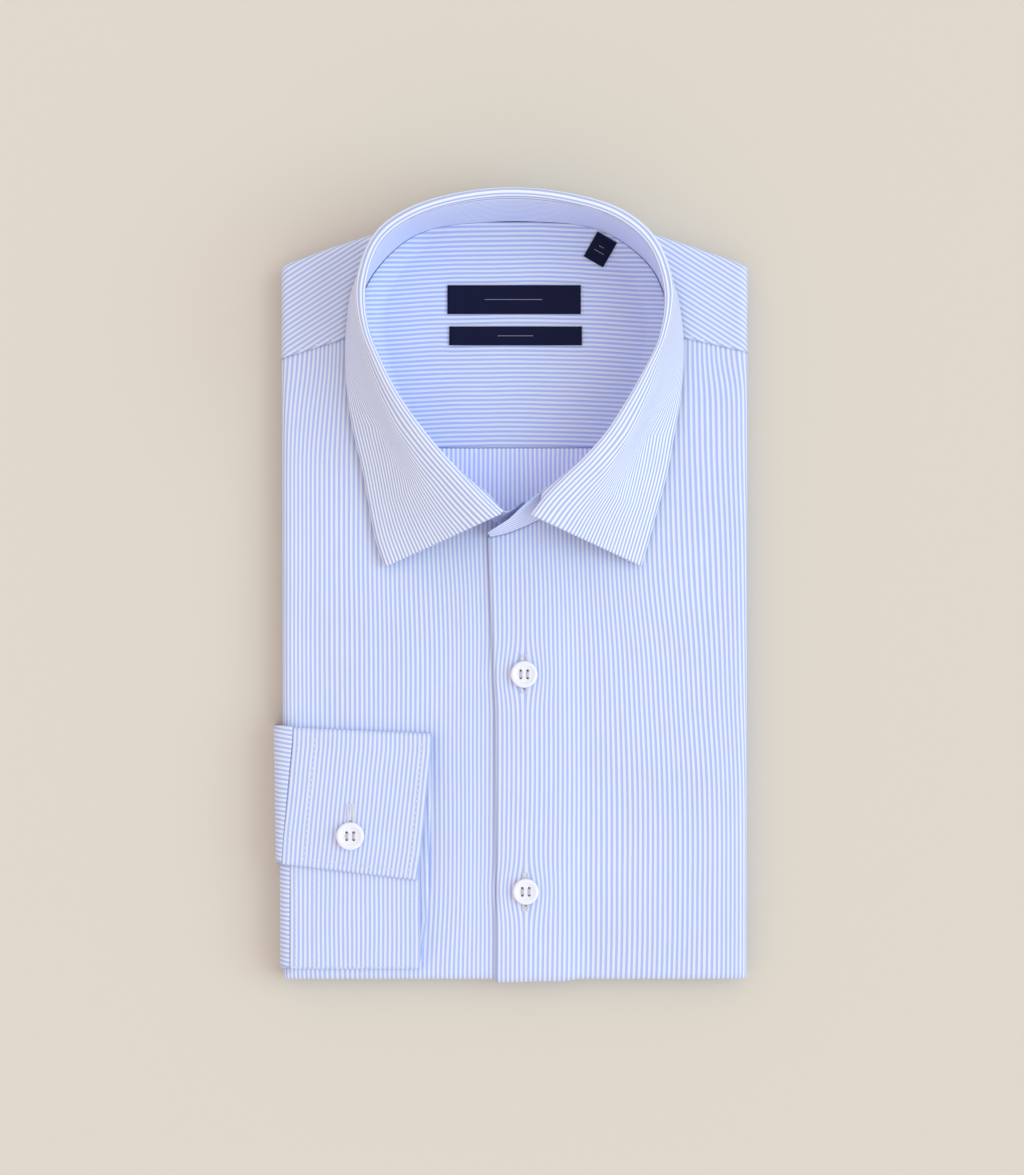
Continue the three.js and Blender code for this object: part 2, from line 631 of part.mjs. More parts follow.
// Path of the flattened cuff, from the under end round both folds to the over end
function cuffPath() {
  const { back, under, over } = CUFF_LAYERS;
  const straight = (layer, from, to, path, count) => evenSteps(0, 1, count).map((f) => {
    const y = lerp(from, to, f);
    return { y, innerY: y, outer: layer.outer, inner: layer.inner, path: path + f };
  });
  const fold = (from, to, y, side, path) => [0.2, 0.5, 0.8].map((f) => {
    const angle = Math.PI * f;
    const middle = (from.outer + to.outer) / 2;
    const outerRadius = (from.outer - to.outer) / 2;
    const innerRadius = (from.inner - to.inner) / 2;
    return {
      y: y + side * Math.abs(outerRadius) * Math.sin(angle),
      innerY: y + side * Math.abs(innerRadius) * Math.sin(angle),
      outer: middle + outerRadius * Math.cos(angle),
      inner: middle + innerRadius * Math.cos(angle),
      path,
    };
  });
  const lowY = CUFF.bottomFold + (under.outer - back.outer) / 2;
  const highY = CUFF.topFold - (over.outer - back.outer) / 2;
  return [
    ...straight(under, CUFF.underEnd, lowY, 0, 4),
    ...fold(under, back, lowY, -1, 1),
    ...straight(back, lowY, highY, 1, 5),
    ...fold(back, over, highY, 1, 2),
    ...straight(over, highY, CUFF.overEnd, 2, 4),
  ];
}

function cuff() {
  const grid = (height, yKey) => cuffPath().map((step) => {
    const left = lookUp(CUFF_SIDES, 'path', 'left', step.path);
    const right = lookUp(CUFF_SIDES, 'path', 'right', step.path);
    const slant = lookUp(CUFF_SIDES, 'path', 'slant', step.path);
    return [0, 0.12, 0.37, 0.63, 0.88, 1].map((f) => {
      const x = lerp(left, right, f);
      const y = step[yKey] + slant * f;
      const onFlat = Math.max(x, leftEdge(y) + FOLD.roll);
      return new THREE.Vector3(x, y, coverTop(onFlat, y) + GAP + step[height]);
    });
  });
  const solid = solidBetween(grid('outer', 'y'), grid('inner', 'innerY'));
  return garmentMesh('cuff', solid, STRIPED_CLOTH);
}

// Sleeve end: from the cuff's seam over the left folded edge and down to the surface
function sleeveWrap(form) {
  const outer = evenSteps(0, 1, 5).map((f) => {
    const y = lerp(form.low, form.high, f);
    const innerX = lerp(form.innerLow, form.innerHigh, f);
    const outerX = leftEdge(y) - lerp(form.reachLow, form.reachHigh, f);
    const curve = new THREE.CubicBezierCurve3(
      new THREE.Vector3(innerX, y, form.height),
      new THREE.Vector3(lerp(innerX, outerX, 0.6), y, form.height - 0.2),
      new THREE.Vector3(outerX, y, form.height - 2),
      new THREE.Vector3(outerX, y, form.height - 7),
    );
    return [
      ...curve.getPoints(5),
      new THREE.Vector3(outerX, y, 5),
      new THREE.Vector3(outerX + 0.2, y, SLEEVE_FOOT),
    ];
  });
  const inner = outer.map((row) => {
    const beside = row.map((p) => p.clone().setY(p.y + 1));
    return offsetGrid([row, beside], SLEEVE_CLOTH)[0];
  });
  inner.forEach((row, r) => {
    row[0].x = outer[r][0].x;
    row.at(-1).z = SLEEVE_FOOT;
  });
  return garmentMesh(form.name, solidBetween(outer, inner), STRIPED_CLOTH);
}

// Manifold solid of a geometry, and back
function toManifold(geometry) {
  const bare = new THREE.BufferGeometry();
  bare.setAttribute('position', geometry.getAttribute('position').clone());
  if (geometry.index) bare.setIndex(geometry.index.clone());
  const merged = mergeVertices(bare, 1e-4);
  return new wasm.Manifold(new wasm.Mesh({
    numProp: 3,
    vertProperties: new Float32Array(merged.attributes.position.array),
    triVerts: new Uint32Array(merged.index.array),
  }));
}

function fromManifold(solid) {
  const { vertProperties, triVerts } = solid.getMesh();
  const geometry = new THREE.BufferGeometry();
  geometry.setAttribute('position', new THREE.BufferAttribute(vertProperties, 3));
  geometry.setIndex(new THREE.BufferAttribute(triVerts, 1));
  geometry.computeVertexNormals();
  return geometry;
}

// Button with a raised rim and four holes, standing on z = 0
function buttonGeometry() {
  const { radius, height, rimWidth, dish, holeRadius, holeSpread } = BUTTON;
  const profile = [
    [0, 0], [radius - 1, 0], [radius - 0.2, 0.6], [radius, height - 0.9],
    [radius - 0.4, height - 0.1], [radius - rimWidth, height], [radius - 2 * rimWidth, height - dish],
    [0, height - dish],
  ].map(([x, y]) => new THREE.Vector2(x, y));
  let solid = toManifold(new THREE.LatheGeometry(profile, 24).rotateX(Math.PI / 2));
  for (const [sideX, sideY] of [[-1, -1], [1, -1], [-1, 1], [1, 1]]) {
    const hole = new THREE.CylinderGeometry(holeRadius, holeRadius, 3 * height, 8);
    hole.rotateX(Math.PI / 2);
    hole.translate(sideX * holeSpread, sideY * holeSpread, 0);
    solid = solid.subtract(toManifold(hole));
  }
  return fromManifold(solid);
}

function button({ name, x, y }, height) {
  const mesh = garmentMesh(name, buttonGeometry(), PEARL);
  mesh.position.set(x, y, coverTop(x, y) + height + GAP);
  return mesh;
}

// Label lying on the yoke's inner face, given by its corners' places
function labelOnYoke(name, placeAt) {
  const steps = evenSteps(0, 1, 6);
  const grid = (height) => [0, 1].map((v) => steps.map((u) => {
    const { x, y } = placeAt(u, v);
    return new THREE.Vector3(x, y, neckFace(x, y) + GAP + height);
  }));
  return garmentMesh(name, solidBetween(grid(LABEL_WALL), grid(0)), NAVY_SATIN);
}

function wovenLabel(name, form) {
  return labelOnYoke(name, (u, v) => ({
    x: lerp(form.left, form.right, u),
    y: lerp(form.low, form.high, v),
  }));
}

function sizeTab() {
  const turn = THREE.MathUtils.degToRad(SIZE_TAB.turn);
  return labelOnYoke('size_tab', (u, v) => {
    const across = (u - 0.5) * SIZE_TAB.width;
    const along = (v - 0.5) * SIZE_TAB.length;
    return {
      x: SIZE_TAB.x + across * Math.cos(turn) - along * Math.sin(turn),
      y: SIZE_TAB.y + across * Math.sin(turn) + along * Math.cos(turn),
    };
  });
}

const group = new THREE.Group();
group.name = 'folded_dress_shirt';
group.add(foldedCore());
group.add(rightFront());
group.add(leftFront());
group.add(yokeOuter());
group.add(insidePanel('yoke_inner', NECK.backSeam + GAP, NECK.head, YOKE_STEPS));
group.add(insidePanel('back', NECK.foot, NECK.backSeam, BACK_STEPS));
group.add(collarBand());
group.add(collarLeaf());
group.add(cuff());
group.add(sleeveWrap(SLEEVE_OVER));
group.add(sleeveWrap(SLEEVE_UNDER));
group.add(wovenLabel('label_upper', LABEL_UPPER));
group.add(wovenLabel('label_lower', LABEL_LOWER));
group.add(sizeTab());
BUTTONS_ON_FRONT.forEach((place) => {
  group.add(button(place, placketRaise(place.x, place.y)));
});
group.add(button(BUTTON_ON_CUFF, CUFF_LAYERS.over.outer + GAP));

export default group;
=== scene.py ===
"""Looks of a folded long sleeve dress shirt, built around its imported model.

Tables and sizes are in millimetres and become metres when a mesh is finished. +X is the
right-hand side as the fold is looked down on, +Y points to the collar and +Z is up. Left and
right in the names of pieces are the wearer's own.
"""

from __future__ import annotations

import logging
import math
from bisect import bisect_right
from dataclasses import dataclass
from enum import Enum
from typing import Callable, Iterable, Sequence

import bmesh
import bpy
from mathutils import Matrix, Vector, noise


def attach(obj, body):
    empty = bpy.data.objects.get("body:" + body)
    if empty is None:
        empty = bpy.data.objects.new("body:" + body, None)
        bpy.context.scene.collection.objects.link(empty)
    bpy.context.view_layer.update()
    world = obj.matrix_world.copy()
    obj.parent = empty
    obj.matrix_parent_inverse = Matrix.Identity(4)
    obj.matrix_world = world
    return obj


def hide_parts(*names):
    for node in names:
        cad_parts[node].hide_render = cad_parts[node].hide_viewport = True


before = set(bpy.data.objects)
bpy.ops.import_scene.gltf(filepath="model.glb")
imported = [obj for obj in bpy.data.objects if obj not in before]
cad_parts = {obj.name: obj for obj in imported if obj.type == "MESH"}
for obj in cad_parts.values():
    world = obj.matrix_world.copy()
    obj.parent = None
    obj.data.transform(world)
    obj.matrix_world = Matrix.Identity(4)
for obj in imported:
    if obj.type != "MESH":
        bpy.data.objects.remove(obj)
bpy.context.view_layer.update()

logging.basicConfig(level=logging.INFO, format="%(message)s")
LOG = logging.getLogger("shirt")

MM = 0.001
ROOT = "root"
UP = Vector((0, 0, 1))
SEWN_LIFT = 0.03

# Places of the three buttons, across and up
UPPER_BUTTON = (6.1, -36.9)
LOWER_BUTTON = (6.8, -132.3)
CUFF_BUTTON = (-70.1, -107.7)

Place = Callable[[float, float], Vector]
Pattern = Callable[[float, float], tuple[float, float]]
Line = Callable[[float], float]
Height = Callable[[float, float], float]


class Slot(Enum):
    """Material slots of the record, one handed to settle with each piece."""

    CLOTH = "striped_cloth"
    SATIN = "navy_satin"
    PEARL = "pearl"


def lerp(a: float, b: float, f: float) -> float:
    """Return the value at share f of the way from a to b."""
    return a + (b - a) * f


def clamp(value: float, low: float = 0.0, high: float = 1.0) -> float:
    """Return value held between low and high."""
    return max(low, min(high, value))


def smooth(value: float, low: float, high: float) -> float:
    """Return 0 below low, 1 above high and a soft step between them."""
    f = clamp((value - low) / (high - low))
    return f * f * (3 - 2 * f)


def look_up(keys: Sequence[float], values: Sequence[float], at: float) -> float:
    """Read a table straight between its rows.

    Args:
        keys: rising places.
        values: the value at each place.
        at: the place asked for.

    Returns:
        The value there, or the nearest end's.
    """
    if at <= keys[0]:
        return values[0]
    if at >= keys[-1]:
        return values[-1]
    i = bisect_right(keys, at)
    f = (at - keys[i - 1]) / (keys[i] - keys[i - 1])
    return lerp(values[i - 1], values[i], f)


def spread(f: float, stops: Sequence[tuple[float, float]]) -> float:
    """Return the place at share f of the grid lines, which lie closer where stops say so."""
    return look_up([s[0] for s in stops], [s[1] for s in stops], f)


class Curve:
    """A smooth centripetal curve through points."""

    fine_steps = 800

    def __init__(self, points: Sequence[Sequence[float]]) -> None:
        """Keep the points as vectors."""
        self.points = [Vector((*p, 0, 0)[:3]) for p in points]

    def at(self, t: float) -> Vector:
        """Return a point of the curve.

        Args:
            t: share of the rows of points, from 0 to 1.

        Returns:
            The point there.
        """
        last = len(self.points) - 1
        place = clamp(t) * last
        i = min(int(place), last - 1)
        w = place - i
        p1 = self.points[i]
        p2 = self.points[i + 1]
        p0 = self.points[i - 1] if i > 0 else 2 * p1 - p2
        p3 = self.points[i + 2] if i + 2 <= last else 2 * p2 - p1
        d0 = math.sqrt((p1 - p0).length)
        d1 = math.sqrt((p2 - p1).length)
        d2 = math.sqrt((p3 - p2).length)
        t1 = ((p1 - p0) / d0 - (p2 - p0) / (d0 + d1) + (p2 - p1) / d1) * d1
        t2 = ((p2 - p1) / d1 - (p3 - p1) / (d1 + d2) + (p3 - p2) / d2) * d1
        c2 = -3 * p1 + 3 * p2 - 2 * t1 - t2
        c3 = 2 * p1 - 2 * p2 + t1 + t2
        return p1 + t1 * w + c2 * w * w + c3 * w * w * w

    def spaced(self, count: int) -> list[Vector]:
        """Return points at even distances along the curve.

        Args:
            count: how many steps lie between the first point and the last.

        Returns:
            The points, one more than the steps.
        """
        steps = [i / self.fine_steps for i in range(self.fine_steps + 1)]
        fine = [self.at(t) for t in steps]
        lengths = [0.0]
        for a, b in zip(fine, fine[1:]):
            lengths.append(lengths[-1] + (b - a).length)
        total = lengths[-1]
        return [self.at(look_up(lengths, steps, total * i / count)) for i in range(count + 1)]


@dataclass(frozen=True)
class Fold:
    """The folded body: its outline, its rolled edges and the height of its upper face."""

    left: float = -100.9
    left_foot: float = -100.1
    right: float = 104.6
    right_foot: float = 104.2
    bottom: float = -171.5
    height: float = 314.0
    top: float = 14.0
    roll: float = 4.0
    tuck: float = math.radians(150)
    corner_power: float = 6.0
    swell: float = 1.2
    swell_reach: float = 34.0
    shoulder_x: tuple[float, ...] = (-101, -79, -56, -28, 0.8, 30, 60.6, 82, 104.7)
    shoulder_y: tuple[float, ...] = (143.1, 151.2, 158.4, 165, 167.4, 165, 158, 151, 143.1)

    def left_edge(self, y: float) -> float:
        """Return the left folded edge at y."""
        return lerp(self.left_foot, self.left, clamp((y - self.bottom) / self.height))

    def right_edge(self, y: float) -> float:
        """Return the right folded edge at y."""
        return lerp(self.right_foot, self.right, clamp((y - self.bottom) / self.height))

    def shoulder(self, x: float) -> float:
        """Return the shoulder fold at x."""
        return look_up(self.shoulder_x, self.shoulder_y, x)

    def cover_top(self, x: float, y: float) -> float:
        """Return the height of the cover's upper face, without creases.

        Args:
            x: place across.
            y: place up.

        Returns:
            The height.
        """
        inside = min(
            x - self.left_edge(y) - self.roll,
            self.right_edge(y) - self.roll - x,
            y - self.bottom - self.roll,
            self.shoulder(x) - self.roll - y,
        )
        return self.top + self.swell * smooth(inside, 0, self.swell_reach)

    def reach(self, dx: float, dy: float) -> Vector:
        """Return how far a folded edge goes in plan towards dx and dy, square-cornered."""
        power = self.corner_power
        length = (abs(dx) ** power + abs(dy) ** power) ** (1 / power)
        return Vector((dx / length, dy / length))

    def wrap(self, x: float, y: float, lift: float = 0.0, raised: float = 0.0) -> Vector:
        """Take a point of the cover laid flat round the folded edges.

        Args:
            x: place across the flat cover.
            y: place up the flat cover.
            lift: height above the cover's face, as of a crease.
            raised: how far the cover is held off what it lies on.

        Returns:
            The point in millimetres.
        """
        past_x = min(x - self.left_edge(y) - self.roll, 0.0)
        past_x += max(x - self.right_edge(y) + self.roll, 0.0)
        past_y = min(y - self.bottom - self.roll, 0.0)
        past_y += max(y - self.shoulder(x) + self.roll, 0.0)
        arc = max(abs(past_x), abs(past_y))
        if arc == 0:
            return Vector((x, y, self.cover_top(x, y) + raised + lift))
        radius = self.roll + raised
        angle = arc / radius
        out = self.reach(past_x, past_y) * ((radius + lift) * math.sin(angle))
        z = self.top - self.roll + (radius + lift) * math.cos(angle)
        return Vector((x - past_x + out.x, y - past_y + out.y, z))


FOLD = Fold()


@dataclass(frozen=True)
class Cloth:
    """Walls and gaps of the cloth."""

    wall: float = 1.2
    stiff: float = 1.2
    sleeve: float = 1.0
    gap: float = 0.3


CLOTH = Cloth()

# Collar band: the line where it is sewn on, and its upper edge, from the under end round
# the neck to the over end
BAND_BASE = (
    (10.0, 36.6), (-3.2, 29.4), (-10.7, 32.8), (-22.1, 41.4), (-35.3, 53.3), (-47.6, 66.5),
    (-55.9, 79.7), (-62.5, 93.7), (-66.5, 109.6), (-67.1, 122.7), (-61.2, 137.7),
    (-47.3, 152.6), (-33.5, 159.0), (-8.9, 161.9), (13.1, 161.9), (36.4, 159.2),
    (52.6, 150.9), (64.5, 138.1), (70.4, 117.9), (69.3, 104.7), (65.4, 92.0), (59.2, 79.7),
    (50.0, 65.6), (38.6, 52.4), (26.3, 41.0), (15.3, 32.6), (5.2, 27.6), (-2.7, 24.7),
    (-8.7, 23.4),
)
BAND_TOP = (
    (5.8, 38.9, 36.0), (-1.8, 34.3, 37.0), (-9.2, 41.5, 38.0), (-16.3, 47.5, 39.0),
    (-23.9, 53.9, 40.0), (-33.3, 63.8, 41.2), (-42.8, 76.4, 42.6), (-50.6, 89.0, 43.4),
    (-57.6, 104.0, 44.0), (-61.6, 117.0, 44.4), (-61.7, 135.9, 44.8), (-53.1, 153.3, 44.8),
    (-35.2, 162.9, 44.8), (-9.6, 168.1, 44.8), (12.8, 167.9, 44.8), (38.6, 163.1, 44.8),
    (57.2, 151.8, 44.8), (65.4, 134.3, 44.6), (65.8, 116.0, 44.3), (61.6, 103.0, 43.9),
    (55.0, 90.2, 43.3), (46.7, 76.2, 42.6), (37.4, 63.3, 41.6), (27.6, 54.2, 40.3),
    (16.6, 45.3, 38.9), (6.6, 37.6, 38.0), (-0.5, 31.1, 36.0), (-6.2, 27.5, 32.0),
    (-9.9, 25.2, 24.0),
)
NECK_FIRST = 2
NECK_LAST = 25

# Collar leaf: its fold line and its outer edge, from the left point to the right one
LEAF_FOLD = (
    (-3.7, 33.0, 39.5), (-12.2, 41.3, 41.5), (-21.2, 51.0, 43.0), (-30.3, 60.9, 44.5),
    (-39.7, 72.5, 46.0), (-48.3, 84.9, 47.0), (-55.4, 98.6, 47.5), (-60.7, 111.9, 48.0),
    (-62.4, 128.0, 48.4), (-58.4, 144.8, 48.5), (-52.6, 153.3, 48.5), (-41.0, 161.0, 48.5),
    (-22.4, 166.9, 48.5), (1.6, 169.4, 48.5), (25.7, 166.7, 48.5), (44.5, 160.7, 48.5),
    (56.5, 152.0, 48.5), (62.5, 142.8, 48.5), (66.4, 126.5, 48.4), (63.6, 108.1, 48.0),
    (57.1, 94.3, 47.5), (49.8, 81.5, 47.0), (41.2, 68.2, 46.0), (31.8, 57.5, 44.5),
    (22.8, 48.9, 43.0), (14.2, 39.9, 41.5), (8.6, 32.6, 39.5),
)
LEAF_EDGE = (
    (-55.2, 10.0, 17.6), (-59.2, 22.5, 17.4), (-61.8, 35.7, 17.3), (-65.1, 53.7, 17.2),
    (-69.3, 71.3, 17.1), (-71.9, 89.3, 17.0), (-72.5, 105.5, 17.0), (-71.7, 118.7, 17.0),
    (-69.4, 132.5, 16.7), (-61.3, 147.6, 16.2), (-54.6, 156.0, 14.4), (-43.0, 165.6, 8.6),
    (-24.0, 171.6, 7.2), (1.6, 172.6, 7.0), (28.0, 171.4, 7.2), (47.0, 165.4, 8.6),
    (59.0, 155.8, 14.4), (65.4, 145.8, 16.2), (72.7, 131.5, 16.8), (75.6, 116.5, 17.0),
    (76.2, 103.3, 17.0), (75.0, 85.8, 17.0), (71.9, 67.8, 17.1), (68.7, 50.6, 17.2),
    (64.2, 33.9, 17.3), (61.2, 22.9, 17.4), (57.6, 10.4, 17.6),
)

# The leaf's fall at some shares of its length, mirrored: the roll's reach and the stripes
# at the fold line, then shares out and down and the stripes left at three places below
FALL_PLACES = (0.0, 0.077, 0.154, 0.231, 0.308, 0.39, 0.5)
FALLS = (
    ((6.0, 0, 32.0), (0.25, 0.27, 23.1), (0.50, 0.56, 15.6), (0.75, 0.82, 7.8)),
    ((5.5, 0, 32.0), (0.25, 0.20, 23.9), (0.50, 0.48, 15.2), (0.75, 0.78, 7.1)),
    ((5.0, 0, 32.0), (0.25, 0.14, 26.0), (0.50, 0.60, 9.8), (0.75, 0.82, 4.6)),
    ((5.0, 0, 32.0), (0.25, 0.20, 26.0), (0.50, 0.50, 17.0), (0.75, 0.78, 8.2)),
    ((4.6, 0, 32.0), (0.30, 0.22, 23.5), (0.60, 0.48, 15.0), (0.85, 0.74, 7.5)),
    ((4.4, 0, 32.0), (0.30, 0.22, 23.5), (0.60, 0.48, 15.0), (0.85, 0.74, 7.5)),
    ((3.7, 0, 32.0), (-0.10, 0.22, 23.5), (0.10, 0.48, 15.0), (0.60, 0.74, 7.5)),
)

YOKE_SEAM_LEFT = ((-101.0, 101.6), (-73.2, 110.1), (-67.6, 111.8))
YOKE_SEAM_RIGHT = ((71.0, 109.3), (76.5, 110.5), (104.7, 104.4))
PLACKET_Y = (-180, -127.5, -52.3, -30.3, -8.3, 23.4)
PLACKET_X = (-6.3, -6.1, -6.5, -7.6, -8.6, -9.8)
PLACKET_WIDTH = 27.0
STEP_WIDTH = 14.0


class Neck:
    """The neck seam seen from above, and the height of the cloth inside it."""

    rim = 15.3
    depth = 5.1
    slope = 12.0
    back_seam = 62.6
    foot = 34.5
    head = 161.8
    middle = Vector((2.0, 95.0))

    def __init__(self) -> None:
        """Work out the seam and its two halves."""
        seam = Curve(BAND_BASE[NECK_FIRST:NECK_LAST + 1]).spaced(96)
        top = max(range(len(seam)), key=lambda i: seam[i].y)
        self.seam = seam
        self.left = seam[:top + 1]
        self.right = seam[top:][::-1]
        self.left_y = [p.y for p in self.left]
        self.left_x = [p.x for p in self.left]
        self.right_y = [p.y for p in self.right]
        self.right_x = [p.x for p in self.right]
        self.top_y = seam[top].y
        polar = sorted((self.angle(p), (p.xy - self.middle).length) for p in seam)
        self.angles = [a for a, _ in polar]
        self.distances = [d for _, d in polar]

    def angle(self, p: Vector) -> float:
        """Return the direction of p from the neck's middle."""
        return math.atan2(p.x - self.middle.x, p.y - self.middle.y)

    def towards(self, p: Vector) -> Vector:
        """Return the point of the seam in the direction of p."""
        angle = self.angle(p)
        far = look_up(self.angles, self.distances, angle)
        return self.middle + Vector((math.sin(angle), math.cos(angle))) * far

    def x_left(self, y: float) -> float:
        """Return the seam's left side at y."""
        return look_up(self.left_y, self.left_x, y)

    def x_right(self, y: float) -> float:
        """Return the seam's right side at y."""
        return look_up(self.right_y, self.right_x, y)

    def face(self, x: float, y: float) -> float:
        """Return the height of the inner face of the yoke and the back."""
        inside = min(x - self.x_left(y), self.x_right(y) - x, self.top_y - y)
        return self.rim - self.depth * smooth(inside, 0, self.slope)


NECK = Neck()


def edge_line(points: Iterable[Sequence[float]]) -> Line:
    """Return y as a function of x along points that rise in x."""
    rows = list(points)
    xs = [p[0] for p in rows]
    ys = [p[1] for p in rows]
    return lambda x: look_up(xs, ys, x)


RIGHT_FRONT_TOP = edge_line([
    *YOKE_SEAM_LEFT,
    *[(p.x, p.y) for p in reversed(NECK.left) if p.y < 109.5],
    *reversed(BAND_BASE[:NECK_FIRST]),
])
LEFT_FRONT_TOP = edge_line([
    *reversed(BAND_BASE[NECK_LAST + 1:]),
    *[(p.x, p.y) for p in NECK.right if p.y < 108],
    *YOKE_SEAM_RIGHT,
])
YOKE_FOOT = edge_line([
    *YOKE_SEAM_LEFT,
    *[(p.x, p.y) for p in NECK.left if p.y > 123],
    *[(p.x, p.y) for p in reversed(NECK.right) if p.y > 118],
    *YOKE_SEAM_RIGHT,
])


def placket_edge(y: float) -> float:
    """Return the upper front's overlap edge at y."""
    return look_up(PLACKET_Y, PLACKET_X, y)


def placket_raise(x: float, y: float) -> float:
    """Return how far the upper front is held up by the under one."""
    past = x - placket_edge(y)
    drop = smooth(past, PLACKET_WIDTH + CLOTH.gap, PLACKET_WIDTH + STEP_WIDTH)
    return (CLOTH.wall + CLOTH.gap) * (1 - drop)


@dataclass(frozen=True)
class Crease:
    """A soft trough or ridge in the cloth: a line, its width and its height."""

    start: tuple[float, float]
    end: tuple[float, float]
    width: float
    height: float

    def at(self, x: float, y: float) -> float:
        """Return the height that the crease adds.

        Args:
            x: place across.
            y: place up.

        Returns:
            The height, below 0 in a trough.
        """
        a = Vector(self.start)
        along = Vector(self.end) - a
        length = along.length
        p = Vector((x, y)) - a
        f = clamp(p.dot(along) / (length * length))
        off = (p - along * f).length / self.width
        fade = 1 - abs(2 * f - 1) ** 3
        return self.height * math.exp(-off * off) * fade


CREASES = (
    Crease((-37.6, -50.0), (-38.6, -178.0), 3.6, -1.15),
    Crease((-22.0, -88.0), (-25.0, -165.0), 6.0, 0.35),
    Crease((-64.0, 92.0), (-76.0, 30.0), 6.0, -0.35),
    Crease((70.0, 95.0), (78.0, 20.0), 7.0, -0.35),
    Crease((40.0, -10.0), (26.0, -120.0), 9.0, 0.3),
    Crease((62.0, 5.0), (74.0, -90.0), 11.0, -0.3),
    Crease((-52.0, 0.0), (-40.0, -52.0), 9.0, 0.3),
    Crease((-84.0, 60.0), (-82.0, -40.0), 8.0, 0.25),
    Crease((88.0, -40.0), (84.0, -150.0), 8.0, 0.25),
    Crease((20.0, -38.0), (14.0, -60.0), 5.0, -0.3),
    Crease((4.0, -50.0), (5.0, -118.0), 7.0, 0.25),
)


@dataclass(frozen=True)
class Lean:
    """A patch of cloth where the stripes lean, in degrees, to the right going down."""

    x: float
    y: float
    degrees: float
    wide: float
    tall: float

    def at(self, x: float, y: float) -> float:
        """Return how far the patch has moved the stripes to the left at x and y."""
        near = math.exp(-((x - self.x) / self.wide) ** 2)
        area = 0.5 * math.sqrt(math.pi) * self.tall * math.erf((y - self.y) / self.tall)
        return math.tan(math.radians(self.degrees)) * near * area


LEANS = (
    Lean(62, -12, 6.3, 30, 24), Lean(85, -62, 3.8, 38, 26), Lean(95, 95, 9.0, 12, 10),
    Lean(20, 14, 2.5, 14, 14), Lean(60, -165, -1.7, 40, 14), Lean(8, -110, -1.2, 14, 16),
    Lean(90, 40, 2.4, 30, 26), Lean(-88, 88, -7.0, 16, 16), Lean(-85, 66, -3.5, 14, 10),
    Lean(-24, 12, 3.6, 14, 12), Lean(-40, -8, 1.8, 30, 20), Lean(-30, -150, -2.8, 14, 20),
)


def ripple(x: float, y: float, size: float, seed: float) -> float:
    """Return an even, soft unevenness between -1 and 1."""
    return noise.noise(Vector((x / size, y / size, seed)))


def crease_lift(x: float, y: float) -> float:
    """Return the height of all creases of the fronts.

    Args:
        x: place across.
        y: place up.

    Returns:
        The height, which fades towards the folded edges.
    """
    inside = min(
        x - FOLD.left_edge(y) - FOLD.roll,
        FOLD.right_edge(y) - FOLD.roll - x,
        y - FOLD.bottom - FOLD.roll,
    )
    fade = smooth(inside, -2, 10)
    soft = 0.28 * ripple(x, y * 0.45, 26, 3.1) + 0.12 * ripple(x, y, 11, 7.7)
    return fade * (soft + sum(c.at(x, y) for c in CREASES))


def new_object(name: str, bm: bmesh.types.BMesh) -> bpy.types.Object:
    """Finish a mesh made in millimetres as a smooth object in metres.

    Args:
        name: the piece's name.
        bm: its mesh, which is used up.

    Returns:
        The linked object, at the origin.
    """
    bmesh.ops.scale(bm, vec=(MM, MM, MM), verts=bm.verts)
    mesh = bpy.data.meshes.new(name)
    for face in bm.faces:
        face.smooth = True
    bm.to_mesh(mesh)
    bm.free()
    obj = bpy.data.objects.new(name, mesh)
    bpy.context.scene.collection.objects.link(obj)
    return obj


def sheet_mesh(
    across: int, up: int, place: Place, pattern: Pattern, wall: float, inwards: bool = True
) -> bmesh.types.BMesh:
    """Make a closed piece of cloth from a grid.

    Args:
        across: steps in u.
        up: steps in v.
        place: where the point at u and v lies, in millimetres.
        pattern: the flat cloth's own place there, in millimetres across the stripes and
            along them.
        wall: thickness in millimetres.
        inwards: whether the wall goes away from the side that the grid faces.

    Returns:
        The mesh, with the flat cloth's places as a UV map in metres.
    """
    bm = bmesh.new()
    bmesh.ops.create_grid(bm, x_segments=across, y_segments=up, size=0.5)
    layer = bm.loops.layers.uv.new("weave")
    spots = {v: (v.co.x + 0.5, v.co.y + 0.5) for v in bm.verts}
    for v, (s, t) in spots.items():
        v.co = place(s, t)
        flat = pattern(s, t)
        for loop in v.link_loops:
            loop[layer].uv = (flat[0] * MM, flat[1] * MM)
    bmesh.ops.solidify(bm, geom=bm.faces[:], thickness=wall if inwards else -wall)
    return bm


def settle(obj: bpy.types.Object, slot: Slot, material: bpy.types.Material) -> None:
    """Dress a piece and let it ride on the shirt."""
    obj.data.materials.clear()
    obj.data.materials.append(material)
    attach(obj, ROOT)


